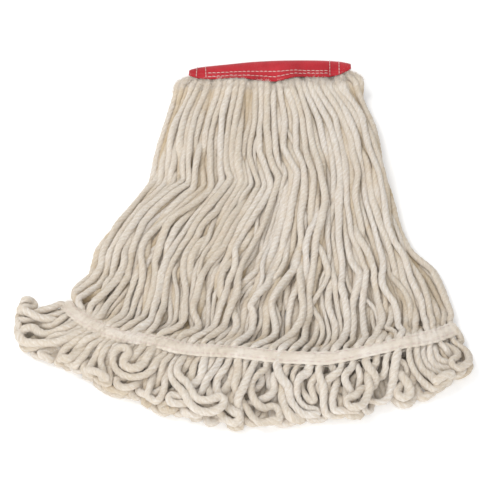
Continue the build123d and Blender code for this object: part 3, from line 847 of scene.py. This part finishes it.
# ---------------------------------------------------------------- materials
class Nodes:
    """A short way to write a material's nodes."""

    def __init__(self, name):
        self.mat = bpy.data.materials.new(name)
        self.mat.use_nodes = True
        self.t = self.mat.node_tree
        self.t.nodes.clear()
        self.out = self.t.nodes.new("ShaderNodeOutputMaterial")
        self.bsdf = self.t.nodes.new("ShaderNodeBsdfPrincipled")
        self.link(self.bsdf.outputs[0], self.out.inputs[0])

    def link(self, a, b):
        self.t.links.new(a, b)

    def new(self, kind, **kw):
        n = self.t.nodes.new("ShaderNode" + kind)
        for k, v in kw.items():
            setattr(n, k, v)
        return n

    def put(self, sock, v):
        if isinstance(v, (int, float, tuple, list)):
            sock.default_value = v
        else:
            self.link(v, sock)

    def attr(self, name, vector=False):
        n = self.new("Attribute", attribute_name=name)
        return n.outputs["Vector" if vector else "Fac"]

    def math(self, op, a, b=0.0, clamp=False):
        n = self.new("Math", operation=op, use_clamp=clamp)
        self.put(n.inputs[0], a)
        self.put(n.inputs[1], b)
        return n.outputs[0]

    def noise(self, vec, scale, detail=2.0, rough=0.5, dims="3D"):
        n = self.new("TexNoise", noise_dimensions=dims)
        self.put(n.inputs["Vector"], vec)
        n.inputs["Scale"].default_value = scale
        n.inputs["Detail"].default_value = detail
        n.inputs["Roughness"].default_value = rough
        return n.outputs["Fac"]

    def mapping(self, vec, scale=(1, 1, 1), rot=(0, 0, 0), loc=(0, 0, 0)):
        n = self.new("Mapping")
        self.put(n.inputs["Vector"], vec)
        n.inputs["Scale"].default_value = scale
        n.inputs["Rotation"].default_value = rot
        n.inputs["Location"].default_value = loc
        return n.outputs[0]

    def ramp(self, fac, stops):
        n = self.new("ValToRGB")
        self.put(n.inputs[0], fac)
        cr = n.color_ramp
        while len(cr.elements) < len(stops):
            cr.elements.new(0.5)
        for e, (p, c) in zip(cr.elements, stops):
            e.position = p
            e.color = (*c, 1.0) if len(c) == 3 else c
        return n.outputs[0]

    def mix(self, fac, a, b, mode="MIX"):
        n = self.new("Mix", data_type="RGBA", blend_type=mode)
        self.put(n.inputs["Factor"], fac)
        for s, v in ((n.inputs[6], a), (n.inputs[7], b)):
            if isinstance(v, tuple) and len(v) == 3:
                v = (*v, 1.0)
            self.put(s, v)
        return n.outputs[2]

    def maprange(self, v, a, b, c, d):
        n = self.new("MapRange", clamp=True)
        self.put(n.inputs[0], v)
        for i, x in enumerate((a, b, c, d)):
            n.inputs[i + 1].default_value = x
        return n.outputs[0]

    def bump(self, height, strength, distance):
        n = self.new("Bump")
        n.inputs["Strength"].default_value = strength
        n.inputs["Distance"].default_value = distance
        self.put(n.inputs["Height"], height)
        return n.outputs[0]


def yarn_material(name="cotton_yarn_looks"):
    m = Nodes(name)
    yv = m.attr("yv", True)
    fib = m.noise(m.mapping(yv, (2.4, 2.4, 1.6)), 1.6, 3.0, 0.6)      # short fibres along the twist
    fine = m.noise(m.mapping(yv, (7.0, 7.0, 3.0)), 2.0, 2.0, 0.6)
    slub = m.noise(m.mapping(yv, (0.35, 0.35, 0.5)), 1.0, 1.0, 0.5)
    mott = m.noise(m.mapping(yv, (1.7, 1.7, 5.0)), 1.0, 2.0, 0.65)
    tint = m.attr("tint")
    groove = m.attr("groove")
    geo = m.new("TexCoord")
    patch = m.noise(geo.outputs["Object"], 26.0, 2.0, 0.5)
    base = m.ramp(m.math("ADD", m.math("MULTIPLY", tint, 0.5), m.math("MULTIPLY", patch, 0.5)),
                  [(0.15, YARN_LO), (0.5, YARN_MID), (0.85, YARN_HI)])
    c = m.mix(m.maprange(fib, 0.40, 0.68, 0.0, 0.50), base, (0.58, 0.47, 0.34))
    c = m.mix(m.maprange(fine, 0.52, 0.72, 0.0, 0.45), c, (0.93, 0.89, 0.84))
    c = m.mix(m.maprange(slub, 0.55, 0.8, 0.0, 0.25), c, (0.70, 0.55, 0.41))
    c = m.mix(m.maprange(mott, 0.50, 0.72, 0.0, 0.42), c, (0.60, 0.50, 0.37))
    c = m.mix(m.maprange(mott, 0.48, 0.30, 0.0, 0.40), c, (0.92, 0.88, 0.84))
    # painted shade in the grooves between the plies of the twist
    c = m.mix(m.math("MULTIPLY", groove, 0.30), c, (0.54, 0.42, 0.27))
    # painted shade: the colour goes tan where the yarn lies deep among its neighbours and on its lower flanks
    deep = m.attr("deep")
    c = m.mix(m.maprange(deep, 0.05, 1.0, 0.0, 0.66), c, (0.54, 0.39, 0.19))
    m.put(m.bsdf.inputs["Base Color"], c)
    m.bsdf.inputs["Roughness"].default_value = 0.92
    m.bsdf.inputs["Specular IOR Level"].default_value = 0.12
    m.bsdf.inputs["Sheen Weight"].default_value = 0.25
    m.bsdf.inputs["Sheen Roughness"].default_value = 0.5
    h = m.math("ADD", m.math("MULTIPLY", fib, 0.6), m.math("MULTIPLY", fine, 0.5))
    m.put(m.bsdf.inputs["Normal"], m.bump(h, 1.0, 0.0011))
    return m.mat


YARN_LO = (0.67, 0.59, 0.49)
YARN_MID = (0.76, 0.695, 0.615)
YARN_HI = (0.82, 0.775, 0.73)


# ------------------------------------------------------------------- build
def reach_at(u):
    """How far below the tape the fringe goes on line u, less the loop's own end."""
    return sum(np.linalg.norm(guide(u, k + 1) - guide(u, k)) for k in (12, 13, 14)) - 9 - 6


# The kinds of loop: (share of all loops, length as a share of the fringe's depth, curvature at the start,
# curvature at the end, half width, half width at the end, how high it may end). Curvature is per mm.
# Which loop is of which kind is drawn by the seed, with the same shares all along the fringe.
KINDS = [
    (0.34, (0.98, 1.28), (0.000, 0.006), (0.000, 0.014), (3.9, 4.6), (4.4, 6.2), 14),      # straight
    (0.26, (0.95, 1.32), (0.004, 0.018), (0.015, 0.055), (3.7, 4.5), (4.3, 6.4), 18),      # wide arcs
    (0.40, (1.05, 1.70), (0.012, 0.033), (0.050, 0.100), (3.6, 4.2), (3.9, 5.2), 24),      # curls and coils
]


def specs_front(rng, ua, ub):
    u = (ua + ub) / 2
    _, ln, c0, c1, hw, tip, high = KINDS[rng.choice(len(KINDS), p=[k[0] for k in KINDS])]
    sign = rng.choice([-1, 1])
    return (reach_at(u) * rng.uniform(*ln), sign * rng.uniform(*c0), sign * rng.uniform(*c1), rng.uniform(*hw), rng.uniform(*tip), rng.uniform(0.3, 1) * high)


def specs_inner(rng, ua, ub):
    u = (ua + ub) / 2
    k = rng.choice([-1, 1])
    return (reach_at(u) * rng.uniform(0.75, 1.10), k * rng.uniform(0, 0.016), k * rng.uniform(0.01, 0.07), rng.uniform(3.8, 4.6), rng.uniform(4.2, 6.0), rng.uniform(2, 12))


def specs_back(rng, ua, ub):
    u = (ua + ub) / 2
    k = rng.choice([-1, 1])
    return (reach_at(u) * rng.uniform(0.80, 0.98), rng.normal(0, 0.006), k * rng.uniform(0.0, 0.03), rng.uniform(4.0, 5.2), rng.uniform(5, 8.5), rng.uniform(0, 5))


back = layout(12, "back", N_BACK, 1.25, 13.75, specs_back)
front = layout(11, "front", N_FRONT, 0.12, 14.88, specs_front)
front += layout(13, "front", N_INNER, 0.6, 14.4, specs_inner, inner=True)
chains = [(*c, 0, False) for c in back] + [(*c, 1, i >= N_FRONT // 2) for i, c in enumerate(front)]
pos, cid, kf, uu, sheet, rad = relax(chains, 280, 1)


def depth_below_top(pos, rad, cell=3.0, reach=8.0):
    """How far each node lies under the yarns round it, from above, as 0 to 1 (9 mm)."""
    x0, y0 = pos[:, 0].min() - 12, pos[:, 1].min() - 12
    nx, ny = int((pos[:, 0].max() + 12 - x0) / cell) + 2, int((pos[:, 1].max() + 12 - y0) / cell) + 2
    top = np.zeros((nx, ny))
    i, j = ((pos[:, 0] - x0) / cell).astype(int), ((pos[:, 1] - y0) / cell).astype(int)
    np.maximum.at(top, (i, j), pos[:, 2])
    k = int(reach / cell)
    big = top.copy()
    for dx in range(-k, k + 1):
        for dy in range(-k, k + 1):
            if dx * dx + dy * dy <= k * k + 1:
                big = np.maximum(big, np.roll(np.roll(top, dx, 0), dy, 1))
    sm = big.copy()
    for _ in range(2):
        sm = (sm + np.roll(sm, 1, 0) + np.roll(sm, -1, 0) + np.roll(sm, 1, 1) + np.roll(sm, -1, 1)) / 5
    return np.clip((sm[i, j] - pos[:, 2] - 2.0) / 9.0, 0, 1)


covered = np.array([c[5] for c in chains])[cid]      # the front half's inner yarns
# painted shade: yarns lying lower than the yarns round them get a tan tint, standing in for the shade in the gaps
# between them
deep = depth_below_top(pos, rad) * np.where(sheet == 1, np.where(covered, 0.3, 1.4), 0.25) * np.where(kf > 12.6, 0.3, 1.0)
rng = np.random.default_rng(5)
mat = yarn_material()
groups = {}
for c in range(len(chains)):
    k = np.where(cid == c)[0]
    sh = "front" if sheet[k[0]] == 1 else "back"
    um = uu[k].mean()
    sp = FRONT_SPLITS if sh == "front" else BACK_SPLITS
    b = int(np.clip(np.searchsorted(sp, um, "right"), 1, len(sp) - 1))
    outer = sh == "front" and not chains[c][5]
    rnd = 16 if outer else 12
    part = yarn_mesh(rng, pos[k], rad[k] * 1.04, deep[k], step=1.4 if outer else 1.8, rnd=rnd,
                     pitch=rng.uniform(20, 30), tint=rng.uniform(0, 1))
    groups.setdefault((sh, b), []).append(part)
    body = part[0][:-2]
    mid = np.repeat(body.reshape(-1, rnd, 3).mean(1), rnd, 0)
    nr = body - mid
    nr /= np.linalg.norm(nr, axis=1)[:, None] + 1e-9
    below = edge_at(body[:, 0]) - body[:, 1]       # mm below the headband's lower edge
    seen = np.where((nr[:, 2] > -0.2) & (below > 4))[0]
    if len(seen):
        groups[sh, b].append(hairs(rng, body[seen], nr[seen], 800 if outer else 260))
    lint = np.where((nr[:, 2] > 0) & (below > -1.5) & (below < 11))[0]
    if outer and len(lint):       # the yarn is at its fluffiest just below the headband
        groups[sh, b].append(hairs(rng, body[lint], nr[lint], 600, 1.5, 4.8, 0.13))
for (sh, b), parts in sorted(groups.items()):
    ob = make_object(f"{sh}_yarns_{b:02d}", parts)
    ob.data.materials.append(mat)
    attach(ob, f"{sh}_half")
    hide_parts(f"{sh}_strands_{b:02d}", f"{sh}_loops_{b:02d}")


# ------------------------------------------------- headband, tapes, stitches
def grid_mesh(outer, inner, close_v=False):
    """A closed thin mesh from an outer and an inner grid of points (nu, nv, 3)."""
    nu, nv = outer.shape[:2]
    V = np.vstack([outer.reshape(-1, 3), inner.reshape(-1, 3)])
    i, j = np.meshgrid(np.arange(nu - 1), np.arange(nv - 1), indexing="ij")
    a = (i * nv + j).ravel()
    b, c, d = a + nv, a + nv + 1, a + 1
    k = nu * nv
    q = [np.stack([a, b, c, d], 1), np.stack([a + k, d + k, c + k, b + k], 1)]
    for row, flip in ((np.arange(nv), False), ((nu - 1) * nv + np.arange(nv), True)):
        s = np.stack([row[:-1], row[1:], row[1:] + k, row[:-1] + k], 1)
        q.append(s[:, ::-1] if flip else s)
    for col, flip in ((np.arange(nu) * nv, True), (np.arange(nu) * nv + nv - 1, False)):
        s = np.stack([col[:-1], col[1:], col[1:] + k, col[:-1] + k], 1)
        q.append(s[:, ::-1] if flip else s)
    return V, np.vstack(q), np.zeros((0, 3), int), {}


def offset_in(p, t):
    """The grid moved t along its own normal, against it for t < 0."""
    du, dv = np.gradient(p, axis=0), np.gradient(p, axis=1)
    n = np.cross(du, dv)
    n /= np.linalg.norm(n, axis=2)[:, :, None] + 1e-12
    return p + n * t


BAND_W = BAND_X1 - BAND_X0
_r = np.random.default_rng(41)
EDGE_WAVE = {s: smooth_noise(_r, 167, 1.0, 24) for s in ("front", "back")}
LUMP = [smooth_noise(_r, 167, 1.0, 15) for _ in range(4)]


def soft(x, table):
    """The nodes' outline at x, with the corners between its points eased."""
    w = np.clip(np.minimum(x - BAND_X0, BAND_X1 - x), 0, 6.0)
    return sum(np.interp(x + w * f, BAND_XS, table) for f in (-1.0, -0.5, 0.0, 0.5, 1.0)) / 5


def seam_rows(side):
    """Each long seam's stitches, as (x, y) of their middles, from its node."""
    out = {}
    for row in ("upper", "lower"):
        pts, _ = node_points(f"headband_{side}_seam_{row}")
        xs = np.sort(np.unique(pts[:, 0]))
        mids = (xs[0::2] + xs[1::2]) / 2
        out[row] = np.array([(m, pts[np.abs(pts[:, 0] - m) < 2.0][:, 1].mean()) for m in mids])
    return out


ROWS = {side: seam_rows(side) for side in ("front", "back")}


def band_at(x, q, a, side, up=0.0):
    """A point of the strip's outer face at x. q is how far up the flat part, 0 at the lower edge and 1 where
    the fold begins; a is the angle round the fold, 0 at the crest."""
    x = np.asarray(x, float)
    k = np.clip((x - BAND_X0) / BAND_W * 166, 0, 166)
    sgn = 1.0 if side == "front" else -1.0
    crest, low = soft(x, CREST_AT), soft(x, EDGE_AT)
    ry = np.minimum(FOLD_R, crest - low - 1.5)
    cy = crest - ry
    r = FOLD_R + up
    if a is None:
        y, z = low + (cy - low) * q, MID_Z + sgn * r + 0 * x
    else:
        y, z = cy + (ry + up) * math.cos(a), MID_Z + sgn * r * math.sin(a) + 0 * x
    share = np.clip((y - low) / (crest - low), 0, 1)
    y = y + 0.9 * np.interp(k, np.arange(167), EDGE_WAVE[side]) * (1 - share)
    lift = sum(np.interp(k, np.arange(167), LUMP[i]) * np.exp(-((share - c) / 0.25) ** 2) for i, c in enumerate((0.0, 0.3, 0.6, 0.9))) * 0.32 + 0.25
    for row in ROWS[side].values():
        lift = lift - 0.35 * np.exp(-((y - np.interp(x, row[:, 0], row[:, 1])) / 1.3) ** 2)
    lift = lift + 0.25 * np.sin(x * 2 * math.pi / 6.1) * (1 - share)
    z = z + (sgn * lift if a is None else sgn * lift * abs(math.sin(a)))
    return np.stack(np.broadcast_arrays(x, y, np.maximum(z, 0.3)), -1)


def share_at(x, y):
    """How far up the flat part y is, at x, as band_at takes it."""
    crest, low = float(soft(np.array(x), CREST_AT)), float(soft(np.array(x), EDGE_AT))
    return (y - low) / (crest - min(FOLD_R, crest - low - 1.5) - low)


def headband():
    xs = np.linspace(BAND_X0, BAND_X1, 150)
    rows = []
    qs = np.linspace(0, 1, 18)
    for q in qs[:-1]:
        rows.append(band_at(xs, q, None, "front"))
    for a in np.linspace(math.pi / 2, 0, 9):
        rows.append(band_at(xs, None, a, "front"))
    for a in np.linspace(0, math.pi / 2, 9)[1:]:
        rows.append(band_at(xs, None, a, "back"))
    for q in qs[:-1][::-1]:
        rows.append(band_at(xs, q, None, "back"))
    outer = np.stack(rows, 1)
    inner = offset_in(outer, -1.2)
    if inner[:, 0, 2].mean() > outer[:, 0, 2].mean():
        inner = offset_in(outer, 1.2)
    return make_object("headband_strip", [grid_mesh(outer, inner)]), outer


def thread(points, r=0.42, rnd=6):
    """One stitch: a short rounded length of thread through these points."""
    p = np.array(points)
    t, n, b = frames(p)
    th = np.arange(rnd) / rnd * 2 * math.pi
    rr = r * np.sin(np.linspace(0.25, math.pi - 0.25, len(p))) ** 0.4
    v = p[:, None, :] + rr[:, None, None] * (np.cos(th)[None, :, None] * n[:, None, :] + np.sin(th)[None, :, None] * b[:, None, :])
    v[..., 2] = np.maximum(v[..., 2], 0.1)
    m = len(p)
    i, j = np.arange(m - 1)[:, None] * rnd, np.arange(rnd)[None, :]
    j2 = (j + 1) % rnd
    q = np.stack([i + j, i + j2, i + rnd + j2, i + rnd + j], 2).reshape(-1, 4)
    verts = np.vstack([v.reshape(-1, 3), p[:1], p[-1:]])
    k = m * rnd
    t0 = np.stack([np.full(rnd, k), (np.arange(rnd) + 1) % rnd, np.arange(rnd)], 1)
    t1 = np.stack([np.full(rnd, k + 1), k - rnd + np.arange(rnd), k - rnd + (np.arange(rnd) + 1) % rnd], 1)
    return verts, q, np.vstack([t0, t1]), {}


def band_stitches(side):
    out = []
    rg = np.random.default_rng(7 if side == "front" else 8)
    for row in ROWS[side].values():
        for mx, my in row:
            ln = 3.6 + rg.normal(0, 0.2)
            xx = np.linspace(mx - ln / 2, mx + ln / 2, 5)
            y = my + rg.normal(0, 0.08)
            out.append(thread([band_at(xi, share_at(xi, y), None, side, 0.15 + 0.3 * math.sin(math.pi * i / 4)) for i, xi in enumerate(xx)], 0.36))
    pts, _ = node_points(f"headband_{side}_end_seams")
    cols = np.sort(np.unique(pts[:, 0]))
    for g in np.split(cols, np.where(np.diff(cols) > 1.2)[0] + 1):
        k = pts[(pts[:, 0] >= g[0] - 0.01) & (pts[:, 0] <= g[-1] + 0.01)]
        x, y0 = (g[0] + g[-1]) / 2, k[:, 1].min()
        crest, low = float(soft(np.array(x), CREST_AT)), float(soft(np.array(x), EDGE_AT))
        ry = min(FOLD_R, crest - low - 1.5)
        cy = crest - ry
        s0, s1 = 0.0, (cy - y0) + ry * math.pi / 2 - 1.0       # up the leaf and over the fold
        lean = rg.uniform(-1.2, 1.2)
        while s0 < s1 - 2:
            line = []
            for i, q in enumerate(np.linspace(s0, min(s0 + 3.5, s1), 5)):
                h = 0.2 + 0.35 * math.sin(math.pi * i / 4)
                xx = x + lean * q / s1
                if q <= cy - y0:
                    line.append(band_at(xx, share_at(xx, y0 + q), None, side, h))
                else:
                    line.append(band_at(xx, None, math.pi / 2 - (q - (cy - y0)) / ry, side, h))
            out.append(thread(line, 0.36))
            s0 += 4.2
    return make_object(f"headband_stitches_{side}", out)


def tape_top(sheet, u, face):
    """Height of the yarn's upper or lower face under the tape at line u."""
    n, lo, hi = (N_FRONT, 0.12, 14.88) if sheet == "front" else (N_BACK, 1.25, 13.75)
    z = tail_height(sheet, u)
    rib = np.cos((u - lo) / ((hi - lo) / (n - 1)) * math.pi) ** 2      # 1 over a yarn, 0 between two
    return z + (R_FREE - 0.7 + 0.45 * rib) * face


def tape(name, sheet, u0, u1, face, seed, width=15.0):
    """The tailband: a narrow soft cotton tape sewn across the yarns, above (face 1) or below (-1) them."""
    rg = np.random.default_rng(seed)
    nu, nv = 620, 11
    us = np.linspace(u0, u1, nu)
    mid = np.array([guide(u, K_TAIL) for u in us])
    d = np.array([tail_dir(u) for u in us])
    n, lo, hi = (N_FRONT, 0.12, 14.88) if sheet == "front" else (N_BACK, 1.25, 13.75)
    rib = np.cos((us - lo) / ((hi - lo) / (n - 1)) * math.pi) ** 2
    z0 = tape_top(sheet, us, face)
    wob = [smooth_noise(rg, nu, 0.68, w) for w in (16, 16, 30, 9)]
    rows = []
    for v in np.linspace(-1, 1, nv):
        edge = (width / 2 + (0.8 * rib - 0.4) * abs(v) + 0.5 * wob[0 if v < 0 else 1] * abs(v)) * v * 0.94 + 0.7 * wob[2]
        crown = 0.6 * (1 - v * v) - 1.3 * abs(v) ** 3 + 0.4 * wob[3] * (1 - abs(v)) + 0.9 + 0.5 * wob[2]
        for s in (-0.6, 0.6):        # two rows of stitches pull it in
            crown = crown - 0.5 * math.exp(-((v - s) / 0.12) ** 2)
        xy = mid + d * edge[:, None]
        rows.append(np.c_[xy, np.maximum(z0 + face * crown, 0.25)])
    outer = np.stack(rows, 1)
    inner = outer.copy()
    inner[..., 2] -= face * 0.9
    inner[..., 2] = np.maximum(inner[..., 2], 0.12)
    nrm = np.zeros_like(outer)
    nrm[..., 2] = face
    fluff = hairs(rg, outer[:, 1:-1].reshape(-1, 3), nrm[:, 1:-1].reshape(-1, 3), 5000, 1.5, 4.5)
    V, faces, none, _ = grid_mesh(outer, inner)
    run = np.r_[0, np.cumsum(np.linalg.norm(np.diff(outer[:, nv // 2], axis=0), axis=1))]
    tv = np.stack(np.broadcast_arrays(run[:, None], np.linspace(-width / 2, width / 2, nv)[None, :], float(seed)), 2).reshape(-1, 3)
    mesh = (V, faces, none, {"tv": np.vstack([tv, tv])})
    return make_object(name, [mesh]), make_object(name + "_fluff", [fluff]), outer, us


def tape_stitches(name, sheet, outer, us, face):
    out = []
    nv = outer.shape[1]
    for col in (2, nv - 3):
        i = 4
        while i < len(us) - 8:
            seg = outer[i:i + 6, col].copy()
            seg[:, 2] += face * (0.15 + 0.3 * np.sin(np.linspace(0, math.pi, 6)))
            out.append(thread(seg, 0.34))
            i += 8
    return make_object(name, out)


def cloth_material(name, dark, mid, light, weave, along=0.0, fuzz=0.3):
    m = Nodes(name)
    obj = m.new("TexCoord").outputs["Object"]
    w = m.new("TexWave", wave_type="BANDS", bands_direction="DIAGONAL")
    m.put(w.inputs["Vector"], m.mapping(obj, (weave, weave, weave)))
    w.inputs["Scale"].default_value = 1.0
    w.inputs["Distortion"].default_value = 0.8
    w.inputs["Detail"].default_value = 1.0
    big = m.noise(obj, 45.0, 3.0, 0.55)
    fine = m.noise(obj, 900.0, 2.0, 0.6)
    c = m.ramp(big, [(0.3, dark), (0.5, mid), (0.72, light)])
    c = m.mix(m.maprange(w.outputs["Fac"], 0.2, 0.9, 0.0, 0.18), c, dark)
    c = m.mix(m.maprange(fine, 0.5, 0.8, 0.0, fuzz), c, light)
    if along:                  # loose threads that run along the tape
        tv = m.noise(m.mapping(m.attr("tv", True), (0.10, 2.2, 1.0)), 1.0, 2.0, 0.6)
        lump = m.noise(m.mapping(m.attr("tv", True), (0.16, 0.3, 1.0)), 1.0, 1.0, 0.5)
        c = m.mix(m.maprange(tv, 0.45, 0.70, 0.0, along), c, (0.52, 0.42, 0.30))
        c = m.mix(m.maprange(lump, 0.50, 0.75, 0.0, 0.6 * along), c, (0.60, 0.50, 0.38))
    m.put(m.bsdf.inputs["Base Color"], c)
    m.bsdf.inputs["Roughness"].default_value = 0.85
    m.bsdf.inputs["Specular IOR Level"].default_value = 0.15
    m.bsdf.inputs["Sheen Weight"].default_value = 0.2
    m.bsdf.inputs["Sheen Roughness"].default_value = 0.5
    h = m.math("ADD", m.math("MULTIPLY", w.outputs["Fac"], 0.5), m.math("MULTIPLY", fine, 0.7))
    if along:
        h = m.math("ADD", h, m.math("MULTIPLY", tv, 0.8))
    m.put(m.bsdf.inputs["Normal"], m.bump(h, 0.5, 0.0004))
    return m.mat


red = cloth_material("red_webbing_looks", (0.36, 0.010, 0.018), (0.46, 0.016, 0.026), (0.55, 0.030, 0.042), 1100.0, fuzz=0.10)
white = cloth_material("cotton_tape_looks", (0.66, 0.585, 0.49), (0.76, 0.69, 0.605), (0.83, 0.775, 0.71), 900.0, along=0.35, fuzz=0.3)
pale = cloth_material("thread_looks", (0.64, 0.48, 0.45), (0.76, 0.62, 0.58), (0.85, 0.75, 0.71), 1500.0, fuzz=0.1)

strip, strip_grid = headband()
strip.data.materials.append(red)
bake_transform(strip)
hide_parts("headband_front_leaf", "headband_back_leaf")
for s in ("front", "back"):
    o = band_stitches(s)
    o.data.materials.append(pale)
    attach(o, f"{s}_half")
    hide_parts(f"headband_{s}_seam_upper", f"headband_{s}_seam_lower", f"headband_{s}_end_seams")
    for where, face, (u0, u1) in (("upper", 1, (0.0, 15.0) if s == "front" else (1.05, 13.95)), ("lower", -1, (1.1, 13.9))):
        t, lint, grid, us = tape(f"{s}_tailband_{where}", s, u0, u1, face, 60 + 2 * (s == "front") + (face > 0))
        t.data.materials.append(white)
        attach(t, f"{s}_half")
        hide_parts(f"{s}_tailband_{where}_tape")
        lint.data.materials.append(white)
        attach(lint, f"{s}_half")
        if f"{s}_tailband_seam_{where}" in FRAME["nodes"]:
            o = tape_stitches(f"{s}_tailband_stitches_{where}", s, grid, us, face)
            o.data.materials.append(pale)
            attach(o, f"{s}_half")
            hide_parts(f"{s}_tailband_seam_{where}")
# the yarn turns round inside the fold, so it stands for the fold's yarn as well
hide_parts("front_strands_04", "front_loops_04", "front_fold_yarn")
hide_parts("back_strands_04", "back_loops_04", "back_fold_yarn")


# ------------------------------------------------------------ floor, light
me = bpy.data.meshes.new("floor")
me.from_pydata([(-6, -6, 0), (6, -6, 0), (6, 6, 0), (-6, 6, 0)], [], [(0, 1, 2, 3)])
floor = bpy.data.objects.new("floor", me)
bpy.context.scene.collection.objects.link(floor)
fm = Nodes("floor_white")
fm.bsdf.inputs["Base Color"].default_value = (0.93, 0.93, 0.93, 1)
fm.bsdf.inputs["Roughness"].default_value = 0.9
fm.bsdf.inputs["Specular IOR Level"].default_value = 0.0
fm.bsdf.inputs["Emission Color"].default_value = (1, 1, 1, 1)
fm.bsdf.inputs["Emission Strength"].default_value = 0.14
me.materials.append(fm.mat)

world = bpy.data.worlds.new("world")
bpy.context.scene.world = world
world.use_nodes = True
world.node_tree.nodes["Background"].inputs[0].default_value = (0.97, 0.985, 1.0, 1)
world.node_tree.nodes["Background"].inputs[1].default_value = 0.70


def area(name, loc, aim, size, power, color=(1, 1, 1)):
    d = bpy.data.lights.new(name, "AREA")
    d.shape = "SQUARE"
    d.size = size
    d.energy = power
    d.color = color
    o = bpy.data.objects.new(name, d)
    bpy.context.scene.collection.objects.link(o)
    o.location = loc
    v = np.array(aim) - np.array(loc)
    v = v / np.linalg.norm(v)
    from mathutils import Vector
    o.rotation_euler = Vector(v).to_track_quat("-Z", "Y").to_euler()
    return o


area("key", (-0.85, 0.45, 1.45), (0, 0, 0), 0.85, 13.5, (1.0, 0.985, 0.96))
area("fill", (-0.15, -1.5, 0.9), (0, -0.1, 0), 1.3, 14.8, (1.0, 0.995, 0.985))
bpy.context.scene.view_settings.view_transform = "Standard"
